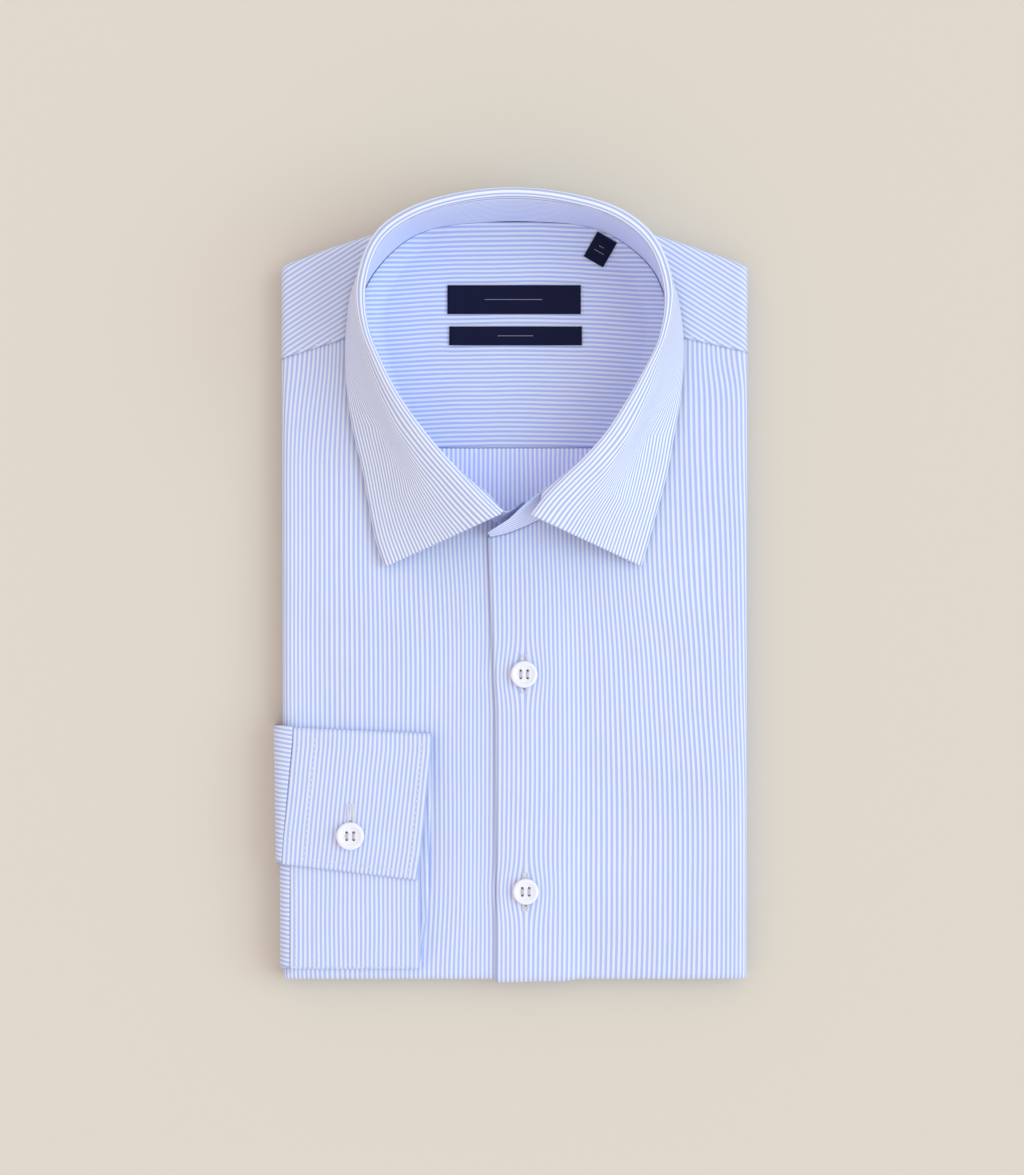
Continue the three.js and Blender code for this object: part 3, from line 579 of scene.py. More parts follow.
class NodeSheet:
    """A small layer over a shader node tree that keeps the finishes short."""

    def __init__(self, tree: bpy.types.NodeTree) -> None:
        """Keep the tree that the nodes go into."""
        self.tree = tree

    def add(self, kind: str, **settings: object) -> bpy.types.Node:
        """Add a node and set its properties."""
        node = self.tree.nodes.new(kind)
        for key, value in settings.items():
            setattr(node, key, value)
        return node

    def link(self, source: bpy.types.NodeSocket, target: bpy.types.NodeSocket) -> None:
        """Join an output to an input."""
        self.tree.links.new(source, target)

    def math(self, operation: str, *values: object) -> bpy.types.NodeSocket:
        """Add a Math node.

        Args:
            operation: the Math node's operation.
            *values: numbers or output sockets for its inputs.

        Returns:
            Its output.
        """
        node = self.add("ShaderNodeMath", operation=operation)
        for i, value in enumerate(values):
            if isinstance(value, bpy.types.NodeSocket):
                self.link(value, node.inputs[i])
            else:
                node.inputs[i].default_value = value
        return node.outputs[0]

    def mix(self, share: object, a: object, b: object, blend: str = "MIX") -> bpy.types.NodeSocket:
        """Mix two colours.

        Args:
            share: the second one's share, a number or a socket.
            a: the first colour, a socket or a tuple.
            b: the second colour.
            blend: the Mix node's blend type.

        Returns:
            The mixed colour's socket.
        """
        node = self.add("ShaderNodeMix", data_type="RGBA", blend_type=blend)
        for index, value in ((0, share), (6, a), (7, b)):
            if isinstance(value, bpy.types.NodeSocket):
                self.link(value, node.inputs[index])
            elif isinstance(value, tuple):
                node.inputs[index].default_value = (*value, 1.0)
            else:
                node.inputs[index].default_value = value
        return node.outputs[2]

    def cloud(self, scale: float, detail: float = 2.0, distortion: float = 0.0) -> bpy.types.NodeSocket:
        """Add an uneven cloud on Object coordinates.

        Args:
            scale: how fine it is.
            detail: how many finer layers it has.
            distortion: how far it is stirred.

        Returns:
            Its value, from 0 to 1.
        """
        place = self.add("ShaderNodeTexCoord")
        node = self.add("ShaderNodeTexNoise")
        node.inputs["Scale"].default_value = scale
        node.inputs["Detail"].default_value = detail
        node.inputs["Distortion"].default_value = distortion
        self.link(place.outputs["Object"], node.inputs["Vector"])
        return node.outputs[0]

    def relief(
        self, height: bpy.types.NodeSocket, strength: float, distance: float, shader: bpy.types.Node
    ) -> None:
        """Give a shader a fine relief.

        Args:
            height: the relief's height.
            strength: how strongly it shows.
            distance: its depth in metres.
            shader: the shader that takes it.
        """
        bump = self.add("ShaderNodeBump")
        bump.inputs["Strength"].default_value = strength
        bump.inputs["Distance"].default_value = distance
        self.link(height, bump.inputs["Height"])
        self.link(bump.outputs[0], shader.inputs["Normal"])


def new_finish(
    name: str, roughness: float
) -> tuple[bpy.types.Material, NodeSheet, bpy.types.Node]:
    """Start a material.

    Args:
        name: the material's name.
        roughness: its roughness.

    Returns:
        The material, its sheet and its shader.
    """
    material = bpy.data.materials.new(name)
    material.use_nodes = True
    shader = material.node_tree.nodes["Principled BSDF"]
    shader.inputs["Roughness"].default_value = roughness
    return material, NodeSheet(material.node_tree), shader


def group_tree(
    name: str, inputs: dict[str, object], outputs: dict[str, str]
) -> tuple[bpy.types.NodeTree, NodeSheet, bpy.types.Node, bpy.types.Node]:
    """Start a shader node group.

    Args:
        name: the group's name.
        inputs: each input's name and its default, a number, a colour or None for a vector.
        outputs: each output's name and its socket type.

    Returns:
        The tree, its sheet, its input node and its output node.
    """
    tree = bpy.data.node_groups.new(name, "ShaderNodeTree")
    for label, value in inputs.items():
        if value is None:
            kind = "NodeSocketVector"
        elif isinstance(value, tuple):
            kind = "NodeSocketColor"
        else:
            kind = "NodeSocketFloat"
        socket = tree.interface.new_socket(label, in_out="INPUT", socket_type=kind)
        if isinstance(value, tuple):
            socket.default_value = (*value, 1.0)
        elif value is not None:
            socket.default_value = value
    for label, kind in outputs.items():
        tree.interface.new_socket(label, in_out="OUTPUT", socket_type=kind)
    sheet = NodeSheet(tree)
    return tree, sheet, sheet.add("NodeGroupInput"), sheet.add("NodeGroupOutput")


def stripe_group() -> bpy.types.NodeTree:
    """Build the group of the narrow stripe: warp stripes with soft, slightly uneven edges."""
    tree, sheet, given, out = group_tree(
        "narrow_stripe",
        {"Flat Cloth": None, "Pitch": 0.002, "Ground": (1, 1, 1), "Stripe": (0, 0, 1), "Share": 0.5},
        {"Color": "NodeSocketColor"},
    )
    split = sheet.add("ShaderNodeSeparateXYZ")
    sheet.link(given.outputs["Flat Cloth"], split.inputs[0])
    slub = sheet.add("ShaderNodeTexNoise", noise_dimensions="3D")
    slub.inputs["Scale"].default_value = 1.0
    slub.inputs["Detail"].default_value = 2.0
    stretch = sheet.add("ShaderNodeVectorMath", operation="MULTIPLY")
    stretch.inputs[1].default_value = (900.0, 90.0, 1.0)
    sheet.link(given.outputs["Flat Cloth"], stretch.inputs[0])
    sheet.link(stretch.outputs[0], slub.inputs["Vector"])
    turns = sheet.math("DIVIDE", split.outputs[0], given.outputs["Pitch"])
    wave = sheet.math("COSINE", sheet.math("MULTIPLY", turns, 2 * math.pi))
    uneven = sheet.math("MULTIPLY", sheet.math("SUBTRACT", slub.outputs[0], 0.5), 0.35)
    raw = sheet.math("ADD", sheet.math("MULTIPLY_ADD", wave, 0.5, 0.5), uneven)
    low = sheet.math("SUBTRACT", given.outputs["Share"], 0.26)
    high = sheet.math("ADD", given.outputs["Share"], 0.26)
    ramp = sheet.add("ShaderNodeMapRange", interpolation_type="SMOOTHSTEP")
    sheet.link(raw, ramp.inputs["Value"])
    sheet.link(low, ramp.inputs["From Min"])
    sheet.link(high, ramp.inputs["From Max"])
    color = sheet.mix(ramp.outputs[0], given.outputs["Ground"], given.outputs["Stripe"])
    sheet.link(color, out.inputs["Color"])
    return tree


def weave_group() -> bpy.types.NodeTree:
    """Build the group of a fine plain weave: the height of its threads."""
    tree, sheet, given, out = group_tree(
        "plain_weave",
        {"Flat Cloth": None, "Threads": 2600.0},
        {"Height": "NodeSocketFloat"},
    )
    split = sheet.add("ShaderNodeSeparateXYZ")
    sheet.link(given.outputs["Flat Cloth"], split.inputs[0])
    scale = sheet.math("MULTIPLY", given.outputs["Threads"], 2 * math.pi)
    warp = sheet.math("SINE", sheet.math("MULTIPLY", split.outputs[0], scale))
    weft = sheet.math("SINE", sheet.math("MULTIPLY", split.outputs[1], scale))
    height = sheet.math("MULTIPLY", warp, weft)
    sheet.link(sheet.math("MULTIPLY_ADD", height, 0.5, 0.5), out.inputs["Height"])
    return tree


@dataclass(frozen=True)
class StripedCotton:
    """Finely woven cotton with a narrow stripe."""

    name: str
    ground: tuple[float, float, float] = (0.715, 0.745, 0.895)
    stripe: tuple[float, float, float] = (0.395, 0.498, 0.85)
    pitch: float = 0.002
    share: float = 0.5
    roughness: float = 0.82
    sheen: float = 0.08
    bump: float = 0.05

    def material(self) -> bpy.types.Material:
        """Build the material."""
        material, sheet, shader = new_finish(self.name, self.roughness)
        flat = sheet.add("ShaderNodeUVMap", uv_map="weave")
        stripes = sheet.add("ShaderNodeGroup", node_tree=bpy.data.node_groups["narrow_stripe"])
        stripes.inputs["Pitch"].default_value = self.pitch
        stripes.inputs["Share"].default_value = self.share
        stripes.inputs["Ground"].default_value = (*self.ground, 1.0)
        stripes.inputs["Stripe"].default_value = (*self.stripe, 1.0)
        sheet.link(flat.outputs[0], stripes.inputs["Flat Cloth"])
        weave = sheet.add("ShaderNodeGroup", node_tree=bpy.data.node_groups["plain_weave"])
        sheet.link(flat.outputs[0], weave.inputs["Flat Cloth"])
        tone = sheet.math("MULTIPLY_ADD", sheet.cloud(22.0, detail=1.0), 0.08, 0.96)
        shaded = sheet.add("ShaderNodeVectorMath", operation="SCALE")
        sheet.link(stripes.outputs["Color"], shaded.inputs[0])
        sheet.link(tone, shaded.inputs["Scale"])
        sheet.link(shaded.outputs[0], shader.inputs["Base Color"])
        sheet.relief(weave.outputs["Height"], self.bump, 0.0002, shader)
        shader.inputs["Specular IOR Level"].default_value = 0.2
        shader.inputs["Sheen Weight"].default_value = self.sheen
        shader.inputs["Sheen Roughness"].default_value = 0.6
        return material


@dataclass(frozen=True)
class NavySatin:
    """Woven satin of the labels, with fine ribs."""

    name: str = "navy_satin"
    color: tuple[float, float, float] = (0.0055, 0.0068, 0.028)
    rib: float = 0.0004
    roughness: float = 0.6

    def material(self) -> bpy.types.Material:
        """Build the material."""
        material, sheet, shader = new_finish(self.name, self.roughness)
        flat = sheet.add("ShaderNodeUVMap", uv_map="weave")
        split = sheet.add("ShaderNodeSeparateXYZ")
        sheet.link(flat.outputs[0], split.inputs[0])
        ribs = sheet.math("SINE", sheet.math("MULTIPLY", split.outputs[1], 2 * math.pi / self.rib))
        lift = sheet.math("MULTIPLY_ADD", ribs, 0.5, 0.5)
        lighter = tuple(1.4 * c for c in self.color)
        sheet.link(sheet.mix(lift, self.color, lighter), shader.inputs["Base Color"])
        sheet.relief(lift, 0.2, 0.0001, shader)
        shader.inputs["Specular IOR Level"].default_value = 0.08
        return material


@dataclass(frozen=True)
class Pearl:
    """Pearly white button, faintly clouded."""

    name: str = "pearl"
    color: tuple[float, float, float] = (0.87, 0.88, 0.98)
    cloud: tuple[float, float, float] = (0.74, 0.76, 0.90)
    roughness: float = 0.22

    def material(self) -> bpy.types.Material:
        """Build the material."""
        material, sheet, shader = new_finish(self.name, self.roughness)
        cloud = sheet.cloud(260.0, detail=3.0, distortion=1.2)
        sheet.link(sheet.mix(cloud, self.color, self.cloud), shader.inputs["Base Color"])
        shader.inputs["Coat Weight"].default_value = 0.6
        shader.inputs["Coat Roughness"].default_value = 0.1
        return material


@dataclass(frozen=True)
class Thread:
    """Sewing thread, twisted along its length."""

    name: str
    color: tuple[float, float, float] = (0.76, 0.78, 0.86)
    roughness: float = 0.7

    def material(self) -> bpy.types.Material:
        """Build the material."""
        material, sheet, shader = new_finish(self.name, self.roughness)
        darker = tuple(0.72 * c for c in self.color)
        sheet.link(sheet.mix(sheet.cloud(3000.0), darker, self.color), shader.inputs["Base Color"])
        return material


class Finishes:
    """All materials of the shirt."""

    def __init__(self) -> None:
        """Build the shared groups and then each material."""
        stripe_group()
        weave_group()
        self.cotton = StripedCotton("cotton").material()
        # A lighter copy of the body cotton for the band and the back seen in the neck: painted light
        # against the shade inside the collar.
        self.band = StripedCotton("cotton_inside_painted_lighter", (0.82, 0.85, 0.99), (0.45, 0.56, 0.95)).material()
        # A lighter copy of the body cotton for the collar leaf: its lighter ground is painted light,
        # and its stronger stripes keep the fine stripes clear.
        self.leaf = StripedCotton("cotton_leaf_painted_lighter", (0.80, 0.83, 0.95), (0.39, 0.475, 0.77)).material()
        self.satin = NavySatin().material()
        self.pearl = Pearl().material()
        self.thread = Thread("thread", (0.95, 0.93, 1.0)).material()
        # The buttonhole's cut is a dark strip in the thread's shader: painted shade in the open hole.
        self.shaded_slit = Thread("shaded_slit", (0.22, 0.23, 0.40), 0.9).material()
        self.pale = Thread("pale_thread", (0.60, 0.61, 0.70)).material()


class Stitches:
    """Sewn rows: many small stitches joined into one mesh."""

    def __init__(self, name: str, length: float = 2.0, gap: float = 0.55, width: float = 0.3) -> None:
        """Start an empty row with the sizes of one stitch."""
        self.name = name
        self.length = length
        self.gap = gap
        self.width = width
        self.bm = bmesh.new()

    def one(self, a: Vector, b: Vector, up: Vector, width: float | None = None) -> None:
        """Add a stitch.

        Args:
            a: where it starts.
            b: where it ends.
            up: the way out of the face that it lies on.
            width: its thickness, or None for the row's own.
        """
        size = width or self.width
        along = (b - a).normalized()
        side = up.cross(along).normalized()
        top = along.cross(side)
        basis = Matrix((along, side, top)).transposed().to_4x4()
        half = Vector(((b - a).length / 2, size / 2, size / 2))
        place = Matrix.Translation((a + b) / 2 + top * 0.12 * size) @ basis
        made = bmesh.ops.create_icosphere(self.bm, subdivisions=1, radius=1.0)
        bmesh.ops.transform(self.bm, matrix=place @ Matrix.Diagonal((*half, 1)), verts=made["verts"])

    def row(self, points: Sequence[Vector], ups: Sequence[Vector]) -> None:
        """Add stitches at even distances along a row.

        Args:
            points: the row's points.
            ups: the way out of the face at each point.
        """
        lengths = [0.0]
        for a, b in zip(points, points[1:]):
            lengths.append(lengths[-1] + (b - a).length)

        def at(distance: float) -> tuple[Vector, Vector]:
            """Return the row's point at a distance along it, and its way out.

            Args:
                distance: millimetres from the row's start.

            Returns:
                The point and the way out of the face.
            """
            i = min(max(bisect_right(lengths, distance) - 1, 0), len(points) - 2)
            span = lengths[i + 1] - lengths[i]
            f = (distance - lengths[i]) / span if span else 0.0
            return points[i].lerp(points[i + 1], f), ups[i]

        distance = self.gap
        while distance + self.length < lengths[-1]:
            a, up = at(distance)
            b, _ = at(distance + self.length)
            self.one(a, b, up)
            distance += self.length + self.gap

    def finish(self, material: bpy.types.Material) -> bpy.types.Object:
        """Turn the rows into one piece that rides on the shirt.

        Args:
            material: the thread's finish.

        Returns:
            The piece.
        """
        obj = new_object(self.name, self.bm)
        settle(obj, Slot.CLOTH, material)
        return obj


@dataclass
class Core:
    """The hidden layers of the fold, which show at its edges as stacked, rolled folds."""

    steps_x: int = 46
    steps_y: int = 70
    steps_head: int = 60
    neck_floor: float = NECK.rim - NECK.depth - CLOTH.wall - 2 * CLOTH.gap

    def outline(self) -> list[tuple[Vector, Vector]]:
        """Return points at the start of the roll, each with its way out, anticlockwise."""
        r = FOLD.roll
        low = FOLD.bottom + r
        left = FOLD.left + r
        right = FOLD.right - r
        head_left = FOLD.shoulder(FOLD.left) - r
        head_right = FOLD.shoulder(FOLD.right) - r
        rows: list[tuple[Vector, Vector]] = []

        def corner(x: float, y: float, start: float) -> None:
            """Add the points that go round a corner.

            Args:
                x: place across of the corner's middle.
                y: place up of the corner's middle.
                start: the way out before the corner, in degrees.
            """
            for k in range(1, 8):
                angle = math.radians(start + 90 * k / 8)
                rows.append((Vector((x, y)), FOLD.reach(math.cos(angle), math.sin(angle))))

        for i in range(self.steps_x + 1):
            x = lerp(FOLD.left_foot + r, FOLD.right_foot - r, i / self.steps_x)
            rows.append((Vector((x, low)), Vector((0, -1))))
        corner(FOLD.right_foot - r, low, -90)
        for i in range(self.steps_y + 1):
            y = lerp(low, head_right, i / self.steps_y)
            rows.append((Vector((FOLD.right_edge(y) - r, y)), Vector((1, 0))))
        corner(right, head_right, 0)
        for i in range(self.steps_head + 1):
            x = lerp(right, left, i / self.steps_head)
            rows.append((Vector((x, FOLD.shoulder(x) - r)), Vector((0, 1))))
        corner(left, head_left, 90)
        for i in range(self.steps_y + 1):
            y = lerp(head_left, low, i / self.steps_y)
            rows.append((Vector((FOLD.left_edge(y) + r, y)), Vector((-1, 0))))
        corner(FOLD.left_foot + r, low, 180)
        return rows

    def profile(self) -> list[tuple[float, float]]:
        """Return how far out each ring lies and its height, from the upper roll down."""
        # How far out, the height, the radius, the angles and the steps of each rolled edge
        rolls = (
            (0.0, FOLD.top - FOLD.roll, FOLD.roll - CLOTH.wall - 1.5 * CLOTH.gap, 90, -60, 5),
            (2.6, 5.45, 0.95, 110, -75, 6),
            (2.9, 3.45, 0.95, 75, -75, 5),
            (2.4, 1.45, 0.95, 75, -20, 4),
            (2.2, 1.2, 1.2, -30, -90, 3),
        )
        rows = []
        for out, height, radius, start, end, count in rolls:
            for k in range(count + 1):
                angle = math.radians(lerp(start, end, k / count))
                rows.append((out + radius * math.cos(angle), height + radius * math.sin(angle)))
        return rows

    def build(self, finishes: Finishes) -> None:
        """Make the layered body and let it stand for the hidden layers.

        Args:
            finishes: the shirt's materials.
        """
        outline = self.outline()
        profile = self.profile()
        seam = [NECK.towards(p) for p, _ in outline]
        count = len(outline)
        under = CLOTH.wall + 1.5 * CLOTH.gap
        rings: list[list[Vector]] = []
        arcs: list[float] = []
        # The neck's floor, then its wall and the face under the cover, then the rolled edges
        for f in (0.85, 0.45, 0.0):
            rings.append([Vector((*s.lerp(NECK.middle, f), self.neck_floor)) for s in seam])
            arcs.append(0.0)
        for f in (0.85, 0.6, 0.3, 0.05, 0.0):
            ring = []
            for (p, _), s in zip(outline, seam):
                q = p.lerp(s, f)
                z = self.neck_floor if f > 0.8 else FOLD.cover_top(q.x, q.y) - under
                ring.append(Vector((*q, z)))
            rings.append(ring)
            arcs.append(0.0)
        arc = 0.0
        last = profile[0]
        for out, z in profile[1:]:
            arc += math.dist((out, z), last)
            last = (out, z)
            rings.append([
                Vector((p.x + w.x * out, p.y + w.y * out, z)) for p, w in outline
            ])
            arcs.append(arc)
        bm = bmesh.new()
        bmesh.ops.create_grid(bm, x_segments=count, y_segments=len(rings) - 1, size=0.5)
        layer = bm.loops.layers.uv.new("weave")
        for v in bm.verts:
            i = round((v.co.x + 0.5) * count)
            k = round((v.co.y + 0.5) * (len(rings) - 1))
            p, w = outline[i % count]
            flat = rings[k][i % count].xy if arcs[k] == 0 else p + w * arcs[k]
            for loop in v.link_loops:
                loop[layer].uv = (flat.x * MM, flat.y * MM)
            v.co = rings[k][i % count]
        bmesh.ops.remove_doubles(bm, verts=bm.verts, dist=1e-4)
        rims = [e for e in bm.edges if e.is_boundary]
        caps = bmesh.ops.holes_fill(bm, edges=rims, sides=0)["faces"]
        for face in caps:
            for loop in face.loops:
                loop[layer].uv = (loop.vert.co.x * MM, loop.vert.co.y * MM)
        bmesh.ops.triangulate(bm, faces=caps)
        bmesh.ops.recalc_face_normals(bm, faces=bm.faces)
        obj = new_object("hidden_layers", bm)
        settle(obj, Slot.CLOTH, finishes.cotton)
        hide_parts("folded_core")


@dataclass
class Fronts:
    """Both fronts, the upper one lapping over the under one."""

    rows: int = 170
    left_places: tuple[float, ...] = (-120, 30)
    left_across: tuple[float, ...] = (-123.5, 30.9)
    right_places: tuple[float, ...] = (-20, 30, 60, 85, 120)
    right_across: tuple[float, ...] = (-20.2, 30.3, 59.5, 82.8, 116.2)
    bow: float = 2.4
    bow_left: float = 13.0
    bow_right: float = 9.0
    bow_tall: float = 9.5
    hem_rise: float = 0.45
    hem_starts: tuple[float, float] = (4, 22)
    hem_ends: tuple[float, float] = (34, 44)
    hem_reach: float = 14.0
    seam_reach: float = 0.25

    def left_stripes(self, x: float) -> float:
        """Return the flat cloth's own place across the right front at x."""
        return look_up(self.left_places, self.left_across, x)

    def right_stripes(self, x: float) -> float:
        """Return the flat cloth's own place across the left front at x."""
        return look_up(self.right_places, self.right_across, x)

    def waver(self, x: float, y: float) -> float:
        """Return how far the stripes wander from straight: leans and bows round buttons.

        Args:
            x: place across.
            y: place up.

        Returns:
            How far the stripes lie to the left of their straight place.
        """
        shift = 0.25 * ripple(x, y * 0.5, 22, 11.0)
        for lean in LEANS:
            shift += lean.at(x, y)
        for cx, cy in (UPPER_BUTTON, LOWER_BUTTON):
            reach = self.bow_left if x < cx else self.bow_right
            near = math.exp(-((y - cy) / self.bow_tall) ** 2 - ((x - cx) / reach) ** 2)
            shift -= self.bow * near * math.tanh((x - cx) / 3)
        return shift

    def panel(
        self, name: str, low_x: Line, high_x: Line, top: Line, stripes: Line,
        stops: Sequence[tuple[float, float]], columns: int, raise_at: Height,
    ) -> bpy.types.Object:
        """Make one front.

        Args:
            name: the piece's name.
            low_x: the left side as x at a y.
            high_x: the right side.
            top: the upper edge as y at an x.
            stripes: the flat cloth's own place across the stripes at x.
            stops: where the columns lie closer.
            columns: how many there are.
            raise_at: how far the front is held up at x and y.

        Returns:
            The piece.
        """
        low_y = FOLD.bottom + FOLD.roll - FOLD.tuck * FOLD.roll
        up_stops = ((0.0, 0.0), (0.14, 0.036), (1.0, 1.0))

        def flat(s: float, t: float) -> tuple[float, float]:
            """Return the grid's place on the flat cover.

            Args:
                s: share across.
                t: share up.

            Returns:
                The place across and up.
            """
            f = spread(s, stops)
            x = lerp(low_x(0), high_x(0), f)
            for _ in range(2):
                y = lerp(low_y, top(x) + self.seam_reach, spread(t, up_stops))
                x = lerp(low_x(y), high_x(y), f)
            return x, y

        def place(s: float, t: float) -> Vector:
            """Return the point of the folded front, its lower edge drawn up beside the overlap.

            Args:
                s: share across.
                t: share up.

            Returns:
                The point.
            """
            x, y = flat(s, t)
            point = FOLD.wrap(x, y, crease_lift(x, y), raise_at(x, y))
            past = x - placket_edge(y)
            drawn = smooth(past, *self.hem_starts) * (1 - smooth(past, *self.hem_ends))
            low = 1 - smooth(y, FOLD.bottom, FOLD.bottom + self.hem_reach)
            point.y += self.hem_rise * drawn * low
            return point

        def pattern(s: float, t: float) -> tuple[float, float]:
            """Return the flat cloth's own place at shares s and t."""
            x, y = flat(s, t)
            return stripes(x + self.waver(x, y)), y

        bm = sheet_mesh(columns, self.rows, place, pattern, CLOTH.wall)
        return new_object(name, bm)

    def build(self, finishes: Finishes) -> None:
        """Make both fronts.

        Args:
            finishes: the shirt's materials.
        """
        tuck = FOLD.tuck * FOLD.roll
        right = self.panel(
            "right_front",
            lambda y: FOLD.left_edge(y) + FOLD.roll - tuck,
            lambda y: placket_edge(y) + PLACKET_WIDTH - STEP_WIDTH / 2,
            RIGHT_FRONT_TOP, self.left_stripes,
            ((0.0, 0.0), (0.2, 0.086), (1.0, 1.0)), 80, lambda x, y: 0.0,
        )
        settle(right, Slot.CLOTH, finishes.cotton)
        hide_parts("front_right")
        left = self.panel(
            "left_front",
            placket_edge,
            lambda y: FOLD.right_edge(y) - FOLD.roll + tuck,
            LEFT_FRONT_TOP, self.right_stripes,
            ((0.0, 0.0), (0.8, 0.914), (1.0, 1.0)), 84, placket_raise,
        )
        settle(left, Slot.CLOTH, finishes.cotton)
        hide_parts("front_left")


@dataclass
class Yoke:
    """The yoke's outer piece, its inner piece and the back below it."""

    slope: float = 0.64
    middle: float = 1.8

    def outer(self, finishes: Finishes) -> None:
        """Make the outer yoke, turned over the shoulder fold.

        Args:
            finishes: the shirt's materials.
        """
        tuck = FOLD.tuck * FOLD.roll
        low_x = FOLD.left + FOLD.roll - tuck
        high_x = FOLD.right - FOLD.roll + tuck
        stops = ((0.0, 0.0), (0.07, 0.048), (0.93, 0.952), (1.0, 1.0))
        slant = math.hypot(1, self.slope)

        def flat(s: float, t: float) -> tuple[float, float]:
            """Return the grid's place on the flat cover.

            Args:
                s: share across.
                t: share from the seam to the tucked end.

            Returns:
                The place across and up.
            """
            x = lerp(low_x, high_x, spread(s, stops))
            foot = YOKE_FOOT(clamp(x, FOLD.left, FOLD.right)) + CLOTH.gap
            head = FOLD.shoulder(x) - FOLD.roll + tuck
            return x, lerp(foot, head, t)

        def place(s: float, t: float) -> Vector:
            """Return the point of the yoke, raised a little along its sewn edge.

            Args:
                s: share across.
                t: share from the seam to the tucked end.

            Returns:
                The point.
            """
            x, y = flat(s, t)
            edge = 0.25 * (1 - smooth(t, 0.0, 0.05))
            return FOLD.wrap(x, y, 0.12 * ripple(x, y, 16, 9.0) + edge)

        def pattern(s: float, t: float) -> tuple[float, float]:
            """Return the flat cloth's own place, with stripes that fall to both sides.

            Args:
                s: share across.
                t: share from the seam to the tucked end.

            Returns:
                The place across the stripes and along them.
            """
            x, y = flat(s, t)
            across = (y + self.slope * abs(x - self.middle)) / slant
            return across + 0.25 * ripple(x, y, 20, 2.0), x

        obj = new_object("outer_yoke", sheet_mesh(200, 44, place, pattern, CLOTH.wall))
        settle(obj, Slot.CLOTH, finishes.cotton)
        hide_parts("yoke_outer")

    def inside(
        self, low: float, high: float, pattern: Pattern, columns: int, rows: int
    ) -> bmesh.types.BMesh:
        """Make a piece that is seen through the neck.

        Args:
            low: its end nearest the neck's front.
            high: its end nearest the neck's back.
            pattern: the flat cloth's own place at x and y.
            columns: steps across.
            rows: steps up.

        Returns:
            The mesh.
        """

        def flat(s: float, t: float) -> tuple[float, float]:
            """Return the grid's place, with columns closer towards the seam.

            Args:
                s: share across.
                t: share up.

            Returns:
                The place across and up.
            """
            y = lerp(low, high, t)
            f = 0.5 - 0.5 * math.cos(math.pi * s)
            f = lerp(s, f, 0.6)
            return lerp(NECK.x_left(y) + CLOTH.gap, NECK.x_right(y) - CLOTH.gap, f), y

        def place(s: float, t: float) -> Vector:
            """Return the point of the inner face at shares s and t."""
            x, y = flat(s, t)
            return Vector((x, y, NECK.face(x, y) + 0.1 * ripple(x, y, 18, 4.0)))

        return sheet_mesh(columns, rows, place, lambda s, t: pattern(*flat(s, t)), CLOTH.wall)

    def build(self, finishes: Finishes) -> None:
        """Make all three pieces.

        Args:
            finishes: the shirt's materials.
        """
        self.outer(finishes)

        def yoke_stripes(x: float, y: float) -> tuple[float, float]:
            """Return the inner yoke's flat place: stripes arch, and part round both labels.

            Args:
                x: place across.
                y: place up.

            Returns:
                The place across the stripes and along them.
            """
            arch = 2.2 * ((x - self.middle) / 60) ** 2
            bulge = 0.0
            for low, high in ((121.8, 134.5), (108.0, 116.3)):
                centre = (low + high) / 2
                away = (y - centre) / (high - low)
                bulge -= 0.5 * math.tanh(2 * away) * math.exp(-away * away) * smooth(
                    34 - abs(x - self.middle), 0, 8)
            return y + arch + bulge + 0.35 * ripple(x, y, 22, 6.0), x

        yoke = new_object("inner_yoke", self.inside(
            NECK.back_seam + CLOTH.gap, NECK.head, yoke_stripes, 110, 90))
        settle(yoke, Slot.CLOTH, finishes.cotton)
        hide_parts("yoke_inner")
        back = new_object("back_panel", self.inside(
            NECK.foot, NECK.back_seam,
            lambda x, y: (x + 0.3 * ripple(x, y, 16, 8.0), y), 90, 26))
        # The back inside the neck takes the lightened cotton: painted light against the neck's shade.
        settle(back, Slot.CLOTH, finishes.band)
        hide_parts("back")


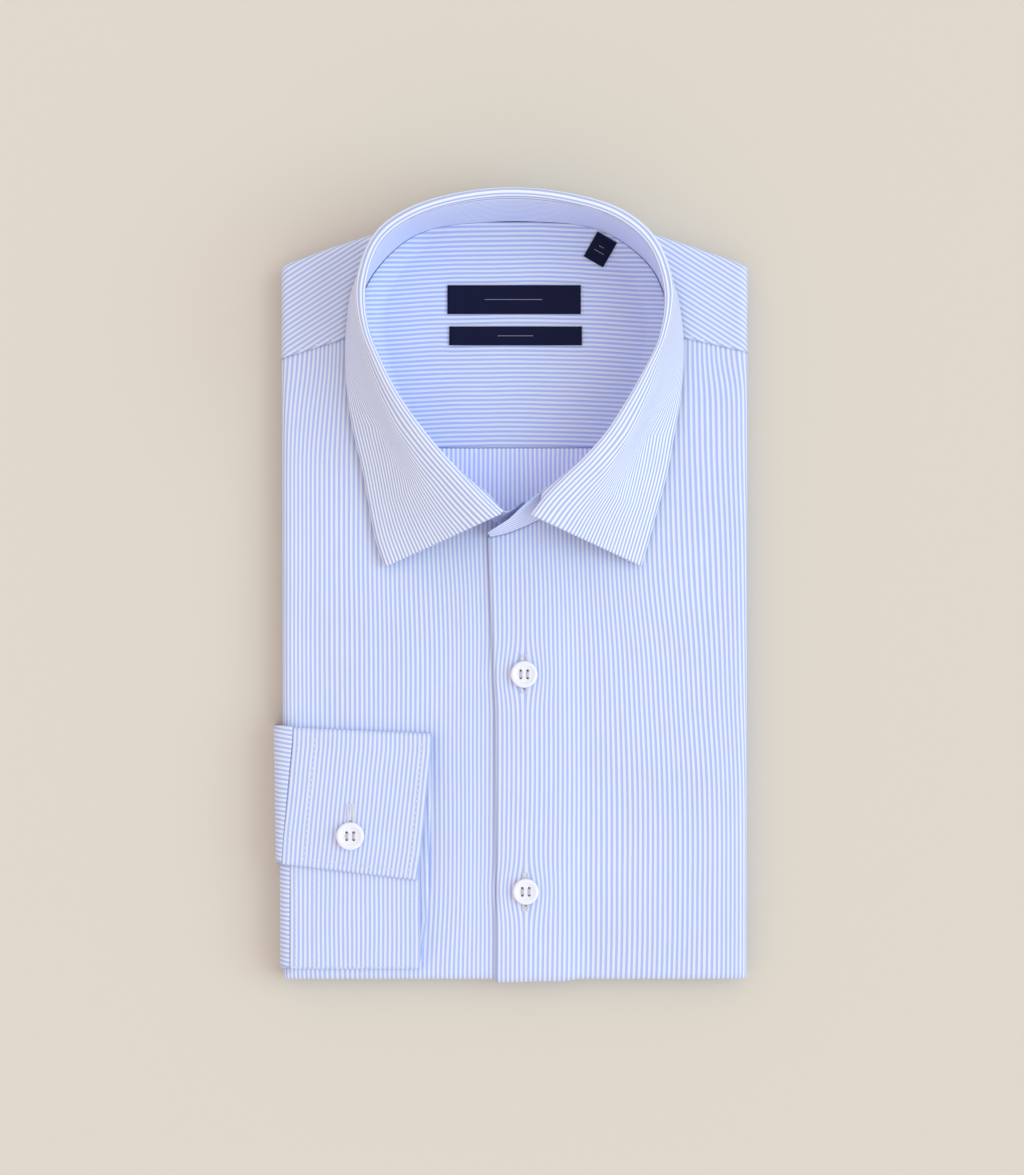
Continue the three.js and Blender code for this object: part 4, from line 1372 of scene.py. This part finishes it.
@dataclass
class Collar:
    """The standing band and the leaf that folds over it."""

    rise: float = 2.6
    leaf_length: float = 400.0
    band_length: float = 345.0

    def __post_init__(self) -> None:
        """Lay out the fold line, the outer edge and the band's upper edge."""
        self.fold = Curve(LEAF_FOLD)
        self.edge = Curve(LEAF_EDGE)
        self.band_top = Curve(BAND_TOP).spaced(700)

    def band(self, finishes: Finishes) -> None:
        """Make the band, thick outwards from its inner face.

        Args:
            finishes: the shirt's materials.
        """
        base = Curve(BAND_BASE)
        top = Curve(BAND_TOP)

        def place(s: float, t: float) -> Vector:
            """Return the point of the band's inner face.

            Args:
                s: share from the under end to the over end.
                t: share from the seam to the upper edge.

            Returns:
                The point.
            """
            low = base.at(s)
            high = top.at(s)
            raised = placket_raise(low.x, low.y) if s > 0.5 else 0.0
            low.z = FOLD.cover_top(low.x, low.y) + raised + CLOTH.gap
            return low.lerp(high, t)

        def pattern(s: float, t: float) -> tuple[float, float]:
            """Return the flat cloth's own place, with wider stripes on the over end.

            Args:
                s: share from the under end to the over end.
                t: share from the seam to the upper edge.

            Returns:
                The place across the stripes and along them.
            """
            wide = place(s, 1.0) - place(s, 0.0)
            wide.z *= 1 - 0.45 * smooth(s, 0.88, 0.93)
            return 1.15 * wide.length * t, self.band_length * s

        bm = sheet_mesh(300, 16, place, pattern, CLOTH.stiff, inwards=False)
        obj = new_object("band", bm)
        # The band takes the lightened cotton: painted light against the shade inside the collar.
        settle(obj, Slot.CLOTH, finishes.band)
        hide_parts("collar_band")

    def shape(self, s: float) -> list[Vector]:
        """Return the fall's shape: out, down and stripes.

        Args:
            s: share of the leaf from the left point to the right one.

        Returns:
            The roll's row and three rows below it.
        """
        place = min(s, 1 - s)
        i = min(bisect_right(FALL_PLACES, place), len(FALL_PLACES) - 1) - 1
        f = clamp((place - FALL_PLACES[i]) / (FALL_PLACES[i + 1] - FALL_PLACES[i]))
        return [Vector(a).lerp(Vector(b), f) for a, b in zip(FALLS[i], FALLS[i + 1])]

    def start(self, fold: Vector) -> Vector:
        """Return where the leaf leaves the band.

        Args:
            fold: a point of the fold line.

        Returns:
            The band's upper edge beside it, or a point below it where the band is far off.
        """
        low = fold - Vector((0, 0, self.rise))
        nearest = min(self.band_top, key=lambda p: (p.xy - fold.xy).length)
        away = (nearest.xy - fold.xy).length
        raised = nearest + Vector((0, 0, 0.15))
        return raised.lerp(low, smooth(away, 2.5, 3.2))

    def section(self, s: float, count: int) -> list[tuple[Vector, float]]:
        """Return a section of the leaf from the band to the outer edge.

        Args:
            s: share of the leaf from the left point to the right one.
            count: steps of the section.

        Returns:
            The section's points, each with its distance across the stripes.
        """
        fold = self.fold.at(s)
        edge = self.edge.at(s)
        out = Vector((edge.x - fold.x, edge.y - fold.y, 0))
        run = out.length
        out.normalize()
        drop = fold.z - edge.z
        begin = self.start(fold)
        shape = self.shape(s)
        reach, _, total = shape[0]
        rows = [
            ((begin - fold).dot(out), begin.z - fold.z, total + (begin - fold).length / 2),
            (0.0, -0.9, total + 0.45),
            (0.4, -0.2, total),
            (reach * 0.4, 0.0, total - reach * 0.2),
            (reach, -0.9, total - reach / 2 - 0.1),
        ]
        joined = rows[-1]
        for ahead, down, stripes in shape[1:]:
            rows.append((lerp(reach, run, ahead), lerp(joined[1], -drop, down), stripes))
        rows.append((run, -drop, 0.0))
        curve = Curve([(a, b, c * 0.8) for a, b, c in rows])
        side = begin - fold - out * rows[0][0]
        side.z = 0
        points = []
        for k in range(count + 1):
            a, b, c = curve.at(k / count)
            shift = side * max(0.0, 1 - k * 4 / count)
            points.append((fold + out * a + Vector((0, 0, b)) + shift, 2.5 * c + 1))
        return points

    def leaf(self, finishes: Finishes) -> None:
        """Make the leaf, with stripes that run along its outer edge.

        Args:
            finishes: the shirt's materials.
        """
        across = 300
        fall = 48
        sections = [self.section(i / across, fall) for i in range(across + 1)]

        def point(s: float, t: float) -> Vector:
            """Return the leaf's point at shares s and t."""
            return sections[round(s * across)][round(t * fall)][0]

        def pattern(s: float, t: float) -> tuple[float, float]:
            """Return the flat cloth's own place at shares s and t."""
            return sections[round(s * across)][round(t * fall)][1], self.leaf_length * s

        bm = sheet_mesh(across, fall, point, pattern, CLOTH.stiff, inwards=False)
        obj = new_object("leaf", bm)
        # The leaf takes the lightened cotton: its lighter ground is painted light.
        settle(obj, Slot.CLOTH, finishes.leaf)
        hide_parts("collar_leaf")

    def build(self, finishes: Finishes) -> None:
        """Make both pieces.

        Args:
            finishes: the shirt's materials.
        """
        self.band(finishes)
        self.leaf(finishes)


@dataclass
class Cuff:
    """The buttoned cuff, flattened, and the sleeve end that goes round the folded edge."""

    bottom_fold: float = -166.4
    top_fold: float = -60.2
    under_end: float = -95.0
    over_end: float = -120.2
    depth: float = 61.0
    uneven: float = 0.18
    side_path: tuple[float, ...] = (0, 1, 1.2, 1.9, 2, 2.1, 2.8, 3)
    side_left: tuple[float, ...] = (-96.6, -96.9, -96.8, -96.2, -95.4, -95.6, -99.6, -100.4)
    side_right: tuple[float, ...] = (-39.7, -39.5, -36.2, -34.4, -34.6, -34.8, -39.0, -41.1)
    side_slant: tuple[float, ...] = (0, 0, 0, -1, -2.6, -2.7, -5.5, -6.9)

    def layers(self) -> dict[str, tuple[float, float]]:
        """Return the outer and the inner face of each layer above the cover."""
        wall = CLOTH.stiff
        gap = CLOTH.gap
        return {
            "back": (0.0, wall),
            "under": (2 * wall + gap, wall + gap),
            "over": (3 * wall + 2 * gap, 2 * wall + 2 * gap),
        }

    def path(self) -> list[tuple[float, float, float, float]]:
        """Return y, height, path and length at each step along the outer face."""
        layers = self.layers()
        back, under, over = (layers[k] for k in ("back", "under", "over"))
        low_y = self.bottom_fold + (under[0] - back[0]) / 2
        high_y = self.top_fold - (over[0] - back[0]) / 2
        rows: list[tuple[float, float, float]] = []

        def straight(height: float, start: float, end: float, path: float, count: int) -> None:
            """Add a flat stretch.

            Args:
                height: its height.
                start: y at its start.
                end: y at its end.
                path: the path's value at its start, which rises by one.
                count: how many steps it has.
            """
            for k in range(count + 1):
                f = k / count
                rows.append((lerp(start, end, f), height, path + f))

        def turn(first: float, second: float, y: float, side: int, path: float) -> None:
            """Add the half circle of a fold.

            Args:
                first: height before the fold.
                second: height after it.
                y: place of its middle.
                side: 1 where it goes up the picture, -1 where it goes down.
                path: the path's value.
            """
            middle = (first + second) / 2
            radius = (first - second) / 2
            for k in range(1, 8):
                angle = math.pi * k / 8
                rows.append((y + side * abs(radius) * math.sin(angle),
                             middle + radius * math.cos(angle), path))

        straight(under[0], self.under_end, low_y, 0, 40)
        turn(under[0], back[0], low_y, -1, 1)
        straight(back[0], low_y, high_y, 1, 60)
        turn(back[0], over[0], high_y, 1, 2)
        straight(over[0], high_y, self.over_end, 2, 40)
        out = []
        length = 0.0
        for i, (y, height, path) in enumerate(rows):
            if i:
                length += math.dist((y, height), rows[i - 1][:2])
            out.append((y, height, path, length))
        return out

    def side_point(self, y: float, height: float, path: float, f: float) -> Vector:
        """Return a point of the cuff.

        Args:
            y: place up, at the left side.
            height: height above the cover.
            path: place along the cuff's path, which its sides follow.
            f: share from the left side to the right one.

        Returns:
            The point.
        """
        left = look_up(self.side_path, self.side_left, path)
        right = look_up(self.side_path, self.side_right, path)
        slant = look_up(self.side_path, self.side_slant, path)
        x = lerp(left, right, f)
        y += slant * f
        on_flat = max(x, FOLD.left_edge(y) + FOLD.roll)
        return Vector((x, y, FOLD.cover_top(on_flat, y) + CLOTH.gap + height))

    def loop(self, finishes: Finishes) -> None:
        """Make the cuff.

        Args:
            finishes: the shirt's materials.
        """
        path = self.path()
        last = len(path) - 1

        def place(s: float, t: float) -> Vector:
            """Return the cuff's point, its upper half a little uneven.

            Args:
                s: share from the left side to the right one.
                t: share along the path.

            Returns:
                The point.
            """
            y, height, along, _ = path[round(t * last)]
            point = self.side_point(y, height, along, s)
            if along > 2:
                inside = smooth(s, 0, 0.2) * smooth(1 - s, 0, 0.2)
                point.z += self.uneven * ripple(point.x, point.y, 14, 1.0) * inside
            return point

        def pattern(s: float, t: float) -> tuple[float, float]:
            """Return the flat cloth's own place.

            Args:
                s: share from the left side to the right one.
                t: share along the path.

            Returns:
                The place across the stripes and along them.
            """
            _, _, along, length = path[round(t * last)]
            wide = self.depth * lerp(0.96, 1.02, smooth(along, 1.0, 2.0))
            return wide * s + 0.25 * ripple(60 * s, length, 20, 2.0), length

        bm = sheet_mesh(50, last, place, pattern, CLOTH.stiff)
        obj = new_object("cuff_loop", bm)
        settle(obj, Slot.CLOTH, finishes.cotton)
        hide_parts("cuff")

    def sleeve(
        self, name: str, node: str, low: float, high: float, height: float,
        inner: Line, reach: tuple[float, float], finishes: Finishes,
    ) -> None:
        """Make one strip of the sleeve, from the cuff round the folded edge to the surface.

        Args:
            name: the piece's name.
            node: the solid that it stands for.
            low: its lower end in the picture.
            high: its upper end.
            height: its height where it leaves the cuff.
            inner: x beside the cuff at y.
            reach: how far it stands out from the fold, at its lower and upper end.
            finishes: the materials.
        """
        foot = 0.6
        straight_at = 7.0

        def section(y: float, f: float) -> list[Vector]:
            """Return a section of the strip, from the cuff round the edge to the surface.

            Args:
                y: its place up.
                f: its share from the strip's lower end to the upper one.

            Returns:
                The section's points.
            """
            inner_x = inner(y)
            outer_x = FOLD.left_edge(y) - lerp(reach[0], reach[1], f)
            a = Vector((inner_x, y, height))
            b = Vector((lerp(inner_x, outer_x, 0.6), y, height - 0.2))
            c = Vector((outer_x, y, height - 2))
            d = Vector((outer_x, y, height - straight_at))
            rows = []
            for k in range(13):
                t = k / 12
                g = 1 - t
                rows.append(a * g ** 3 + b * 3 * g * g * t + c * 3 * g * t * t + d * t ** 3)
            for k in range(1, 8):
                z = lerp(height - straight_at, foot, k / 7)
                rows.append(Vector((outer_x + 0.2 * k / 7, y, z)))
            return rows

        count = 40
        sections = [section(lerp(low, high, i / count), i / count) for i in range(count + 1)]
        last = len(sections[0]) - 1

        def place(s: float, t: float) -> Vector:
            """Return the strip's point at shares s and t."""
            return sections[round(t * count)][last - round(s * last)].copy()

        def pattern(s: float, t: float) -> tuple[float, float]:
            """Return the flat cloth's own place at shares s and t."""
            point = sections[round(t * count)][last - round(s * last)]
            return point.y + 0.15 * point.x + 0.3 * ripple(20 * s, 60 * t, 10, 3.0), 30 * s

        obj = new_object(name, sheet_mesh(last, count, place, pattern, CLOTH.sleeve))
        settle(obj, Slot.CLOTH, finishes.cotton)
        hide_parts(node)

    def build(self, finishes: Finishes) -> None:
        """Make the cuff and both strips of the sleeve.

        Args:
            finishes: the shirt's materials.
        """
        self.loop(finishes)

        def beside_over(y: float) -> float:
            """Return x just beside the upper half's left edge at y."""
            path = 2 + (self.top_fold - y) / (self.top_fold - self.over_end)
            return look_up(self.side_path, self.side_left, path) - 0.05

        def beside_under(y: float) -> float:
            """Return x just beside the lower half's left edge at y."""
            path = (self.under_end - y) / (self.under_end - self.bottom_fold)
            return look_up(self.side_path, self.side_left, path) - 0.05

        self.sleeve("sleeve_end_over", "sleeve_over", -119.4, -59.4, 18.45,
                    beside_over, (3.1, 3.9), finishes)
        self.sleeve("sleeve_end_under", "sleeve_under", -165.8, -112.0, 16.9,
                    beside_under, (1.4, 1.4), finishes)


@dataclass
class Button:
    """A pearly button with four holes, its thread and its buttonhole."""

    name: str
    node: str
    x: float
    y: float
    base: float
    hole_low: float
    hole_high: float
    radius: float = 5.9
    height: float = 2.4
    # Ends and width of the dark strip that is painted shade in the buttonhole's cut
    shaded_slit: tuple[float, float] = (0.0, 0.0)
    slit_width: float = 0.8
    spread: float = 1.5
    hole: float = 0.62
    strand: float = 0.85
    strand_height: float = 1.6
    strand_reach: float = 0.3
    strands: tuple[float, float] = (-0.26, 0.26)

    def disc(self, finishes: Finishes) -> None:
        """Make the button: a spun rim and dish, pierced by four holes.

        Args:
            finishes: the shirt's materials.
        """
        profile = (
            (0.0, 0.0), (4.9, 0.0), (5.5, 0.25), (5.85, 0.9), (5.9, 1.4), (5.75, 1.95),
            (5.4, 2.3), (4.9, 2.4), (4.3, 2.25), (3.8, 1.9), (3.2, 1.72), (0.0, 1.7),
        )
        bm = bmesh.new()
        size = self.radius / profile[4][0]
        verts = [bm.verts.new((r * size, 0, z)) for r, z in profile]
        edges = [bm.edges.new(pair) for pair in zip(verts, verts[1:])]
        bmesh.ops.spin(
            bm, geom=verts + edges, cent=(0, 0, 0), axis=(0, 0, 1), angle=2 * math.pi,
            steps=64, use_merge=True,
        )
        bmesh.ops.remove_doubles(bm, verts=bm.verts, dist=1e-4)
        bmesh.ops.recalc_face_normals(bm, faces=bm.faces)
        bmesh.ops.translate(bm, vec=(self.x, self.y, self.base), verts=bm.verts)
        obj = new_object(self.name, bm)
        holes = bmesh.new()
        for sx, sy in ((-1, -1), (1, -1), (1, 1), (-1, 1)):
            place = Matrix.Translation((
                self.x + sx * self.spread, self.y + sy * self.spread, self.base + 1.2))
            bmesh.ops.create_cone(holes, cap_ends=True, segments=20, radius1=self.hole,
                                  radius2=self.hole, depth=6, matrix=place)
        cutter = new_object("cutter", holes)
        cut = obj.modifiers.new("holes", "BOOLEAN")
        cut.operation = "DIFFERENCE"
        cut.solver = "EXACT"
        cut.object = cutter
        bpy.context.view_layer.update()
        graph = bpy.context.evaluated_depsgraph_get()
        pierced = bpy.data.meshes.new_from_object(obj.evaluated_get(graph))
        obj.modifiers.clear()
        obj.data = pierced
        bpy.data.objects.remove(cutter)
        settle(obj, Slot.PEARL, finishes.pearl)
        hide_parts(self.node)

    def thread(self, finishes: Finishes) -> None:
        """Make the thread that goes down the four holes.

        Args:
            finishes: the shirt's materials.
        """
        sewn = Stitches(self.name + "_thread", width=0.75)
        z = self.base + self.strand_height
        half = self.spread + self.strand_reach
        for side in (-1, 1):
            for beside in self.strands:
                x = self.x + side * self.spread + beside
                a = Vector((x, self.y - half, z))
                b = Vector((x, self.y + half, z))
                sewn.one(a, b, UP, self.strand)
        sewn.finish(finishes.pale)

    def buttonhole(self, finishes: Finishes) -> None:
        """Sew the buttonhole: two dense rows of short stitches, with a dark strip between them that is
        painted shade in the cut.

        Args:
            finishes: the shirt's materials.
        """
        sewn = Stitches(self.name + "_hole", width=0.34)
        step = 0.36
        count = int((self.hole_high - self.hole_low) / step)
        for k in range(count + 1):
            y = self.hole_low + step * k
            tack = k < 3 or k > count - 3
            for side in (-1, 1):
                inner = 0.1 if tack else 0.4
                a = Vector((self.x + side * inner, y, self.base - 0.1))
                b = Vector((self.x + side * 1.9, y + 0.08, self.base - 0.12))
                sewn.one(a, b, UP)
        sewn.finish(finishes.thread)
        # A dark strip in the cut: painted shade of the open hole.
        shaded_slit = Stitches(self.name + "_slit")
        a = Vector((self.x, self.shaded_slit[0], self.base - 0.2))
        b = Vector((self.x, self.shaded_slit[1], self.base - 0.2))
        shaded_slit.one(a, b, UP, self.slit_width)
        shaded_slit.finish(finishes.shaded_slit)

    def build(self, finishes: Finishes) -> None:
        """Make the button with its thread and its hole.

        Args:
            finishes: the shirt's materials.
        """
        self.disc(finishes)
        self.thread(finishes)
        self.buttonhole(finishes)


@dataclass
class Label:
    """A woven label that lies on the inner yoke, with plain woven lines."""

    name: str
    node: str
    x: float
    y: float
    width: float
    height: float
    turn: float = 0.0
    lines: tuple[tuple[float, float], ...] = ()

    def point(self, s: float, t: float, lift: float) -> Vector:
        """Return a point of the label.

        Args:
            s: share across.
            t: share up.
            lift: height above its underside.

        Returns:
            The point.
        """
        across = (s - 0.5) * self.width
        along = (t - 0.5) * self.height
        c = math.cos(math.radians(self.turn))
        d = math.sin(math.radians(self.turn))
        x = self.x + across * c - along * d
        y = self.y + across * d + along * c
        return Vector((x, y, NECK.face(x, y) + CLOTH.gap + lift))

    def build(self, finishes: Finishes) -> None:
        """Make the label and its lines.

        Args:
            finishes: the shirt's materials.
        """
        thick = 0.55

        def place(s: float, t: float) -> Vector:
            """Return the label's point, a little uneven away from its sewn ends.

            Args:
                s: share across.
                t: share up.

            Returns:
                The point.
            """
            edge = min(s, 1 - s) * self.width
            wave = 0.12 * ripple(self.width * s, self.height * t, 9, 5.0)
            return self.point(s, t, thick + wave * smooth(edge, 0, 3))

        def pattern(s: float, t: float) -> tuple[float, float]:
            """Return the satin's own place at shares s and t."""
            return self.width * s, self.height * t

        obj = new_object(self.name, sheet_mesh(48, 12, place, pattern, thick))
        settle(obj, Slot.SATIN, finishes.satin)
        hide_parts(self.node)
        turned_under = 2.2
        cut = (max(self.width, 10.2) * MM, (self.height + turned_under) * MM)
        sewn = Stitches(self.name + "_lines", length=0.7, gap=0.12, width=0.3)
        for height, length in self.lines:
            half = length / self.width / 2
            points = [self.point(lerp(0.5 - half, 0.5 + half, k / 24), height, thick + 0.1)
                      for k in range(25)]
            sewn.row(points, [UP] * len(points))
        sewn.finish(finishes.pale)


@dataclass
class Seams:
    """Edge stitching along the seams and folds that are sewn through."""

    cuff: Cuff
    collar: Collar

    def yoke_seams(self, sewn: Stitches) -> None:
        """Sew along the yoke's side of both shoulder seams.

        Args:
            sewn: the rows that the stitches go into.
        """
        for seam in (YOKE_SEAM_LEFT, YOKE_SEAM_RIGHT):
            points = [
                FOLD.wrap(x, y, SEWN_LIFT) for x, y in (
                    (lerp(a[0], b[0], k / 24), lerp(a[1], b[1], k / 24) + 1.7)
                    for a, b in zip(seam, seam[1:]) for k in range(25)
                )
            ]
            sewn.row(points, [UP] * len(points))

    def cuff_rows(self, sewn: Stitches) -> None:
        """Sew the rows that show on both halves of the cuff.

        Args:
            sewn: the rows that the stitches go into.
        """
        path = self.cuff.path()
        over = [row for row in path if row[2] >= 2.02]
        under = [row for row in path if row[2] <= 1]
        for half, shares in ((over, (0.045, 0.16, 0.93)), (under, (0.05, 0.19, 0.94))):
            for share in shares:
                points = [self.cuff.side_point(y, h, p, share) for y, h, p, _ in half]
                for point in points:
                    point.z += SEWN_LIFT
                sewn.row(points, [UP] * len(points))
        points = [self.cuff.side_point(self.cuff.bottom_fold + 0.6, under[0][1], 0.99, k / 40)
                  for k in range(41)]
        for point in points:
            point.z += SEWN_LIFT
        sewn.row(points, [UP] * len(points))
        y, height, p, _ = over[-1]
        points = [self.cuff.side_point(y + 3.6, height, p, lerp(0.16, 0.93, k / 40))
                  for k in range(41)]
        for point in points:
            point.z += SEWN_LIFT
        sewn.row(points, [UP] * len(points))

    def leaf_rows(self, sewn: Stitches) -> None:
        """Sew close to the leaf's outer and front edges.

        Args:
            sewn: the rows that the stitches go into.
        """
        count = 300
        fall = 48
        outer = []
        ups = []
        for i in range(3, count - 2):
            row = [p for p, _ in self.collar.section(i / count, fall)]
            beside = [p for p, _ in self.collar.section((i + 1) / count, fall)]
            normal = (beside[-2] - row[-2]).cross(row[-1] - row[-2]).normalized()
            if normal.z < 0:
                normal = -normal
            outer.append(row[-2] + normal * SEWN_LIFT)
            ups.append(normal)
        sewn.row(outer, ups)
        for t, inner in ((0.0, 0.006), (1.0, 0.994)):
            row = [p for p, _ in self.collar.section(inner, fall)]
            beside = [p for p, _ in self.collar.section(t, fall)]
            points = []
            normals = []
            for a, b, c in zip(row[8:], row[9:], beside[8:]):
                normal = (b - a).cross(c - a).normalized()
                if normal.z < 0:
                    normal = -normal
                points.append(a + normal * SEWN_LIFT)
                normals.append(normal)
            sewn.row(points, normals)

    def build(self, finishes: Finishes) -> None:
        """Sew all rows.

        Args:
            finishes: the shirt's materials.
        """
        sewn = Stitches("edge_stitching", length=1.9, gap=0.6, width=0.4)
        self.yoke_seams(sewn)
        self.cuff_rows(sewn)
        self.leaf_rows(sewn)
        sewn.finish(finishes.thread)


@dataclass(frozen=True)
class Studio:
    """Plain floor, soft light and the camera."""

    photo_height: float = 517.0
    view_distance: float = 1500.0
    face_height: float = 14.0
    camera_x: float = 0.77
    camera_y: float = 1.2
    floor: tuple[float, float, float] = (0.66, 0.61, 0.54)
    sky: tuple[float, float, float] = (0.99, 0.90, 0.84)
    sky_strength: float = 1.0
    sun: tuple[float, float, float] = (0.55, 0.86, 1.0)
    sun_power: float = 1.26
    sun_height: float = 42.0
    sun_spread: float = 50.0

    def camera(self) -> None:
        """Place the camera straight above, framed as the photo is."""
        data = bpy.data.cameras.new("camera")
        data.sensor_fit = "VERTICAL"
        data.sensor_height = 36.0
        data.lens = data.sensor_height * self.view_distance / self.photo_height
        data.clip_end = 20.0
        obj = bpy.data.objects.new("camera", data)
        obj.location = (
            self.camera_x * MM,
            self.camera_y * MM,
            (self.view_distance + self.face_height) * MM,
        )
        bpy.context.scene.collection.objects.link(obj)
        bpy.context.scene.camera = obj

    def ground(self) -> None:
        """Lay the floor just below the fold."""
        bm = bmesh.new()
        bmesh.ops.create_grid(bm, x_segments=2, y_segments=2, size=3000)
        bmesh.ops.translate(bm, vec=(0, 0, -0.1), verts=bm.verts)
        obj = new_object("floor", bm)
        material, _, shader = new_finish("floor", 0.95)
        shader.inputs["Base Color"].default_value = (*self.floor, 1.0)
        shader.inputs["Specular IOR Level"].default_value = 0.1
        obj.data.materials.append(material)

    def lights(self) -> None:
        """Set an even warm sky and a broad cool light from the right."""
        world = bpy.data.worlds.new("studio")
        world.use_nodes = True
        back = world.node_tree.nodes["Background"]
        back.inputs["Color"].default_value = (*self.sky, 1.0)
        back.inputs["Strength"].default_value = self.sky_strength
        bpy.context.scene.world = world
        data = bpy.data.lights.new("key", "SUN")
        data.energy = self.sun_power
        data.color = self.sun
        data.angle = math.radians(self.sun_spread)
        height = math.radians(self.sun_height)
        towards = Vector((math.cos(height), 0, math.sin(height)))
        obj = bpy.data.objects.new("key", data)
        obj.rotation_euler = towards.to_track_quat("Z", "Y").to_euler()
        bpy.context.scene.collection.objects.link(obj)

    def build(self) -> None:
        """Set the stage."""
        bpy.context.scene.view_settings.view_transform = "Standard"
        self.camera()
        self.ground()
        self.lights()


def main() -> None:
    """Build the shirt piece by piece."""
    Studio().build()
    LOG.info("studio set")
    finishes = Finishes()
    LOG.info("finishes ready")
    Core().build(finishes)
    LOG.info("hidden layers folded")
    Fronts().build(finishes)
    LOG.info("fronts laid")
    Yoke().build(finishes)
    LOG.info("yoke and back laid")
    collar = Collar()
    collar.build(finishes)
    LOG.info("collar standing")
    cuff = Cuff()
    cuff.build(finishes)
    LOG.info("cuff laid")
    on_front = (
        ("upper_button", "button_upper", *UPPER_BUTTON, -45.2, -28.2, 5.95, -44.4),
        ("lower_button", "button_lower", *LOWER_BUTTON, -140.8, -124.0, 5.75, -139.6),
    )
    for name, node, x, y, low, high, radius, shaded_slit in on_front:
        base = FOLD.cover_top(x, y) + placket_raise(x, y) + CLOTH.gap
        Button(name, node, x, y, base, low, high, radius, shaded_slit=(shaded_slit, y)).build(finishes)
    base = FOLD.cover_top(*CUFF_BUTTON) + cuff.layers()["over"][0] + 2 * CLOTH.gap
    Button("cuff_button", "button_cuff", *CUFF_BUTTON, base, -112.0, -94.0, 6.15,
           shaded_slit=(-107.7, -100.2)).build(finishes)
    LOG.info("buttons sewn on")
    labels = (
        Label("main_label", "label_upper", 1.7, 128.15, 58.8, 12.7, lines=((0.5, 26.0),)),
        Label("second_label", "label_lower", 2.35, 112.15, 58.5, 8.3, lines=((0.5, 16.0),)),
        Label("neck_tab", "size_tab", 39.6, 150.0, 9.9, 12.0, turn=-30,
              lines=((0.42, 5.0), (0.62, 3.0))),
    )
    for label in labels:
        label.build(finishes)
    LOG.info("labels laid")
    Seams(cuff, collar).build(finishes)
    LOG.info("seams stitched")


if __name__ == "__main__":
    main()
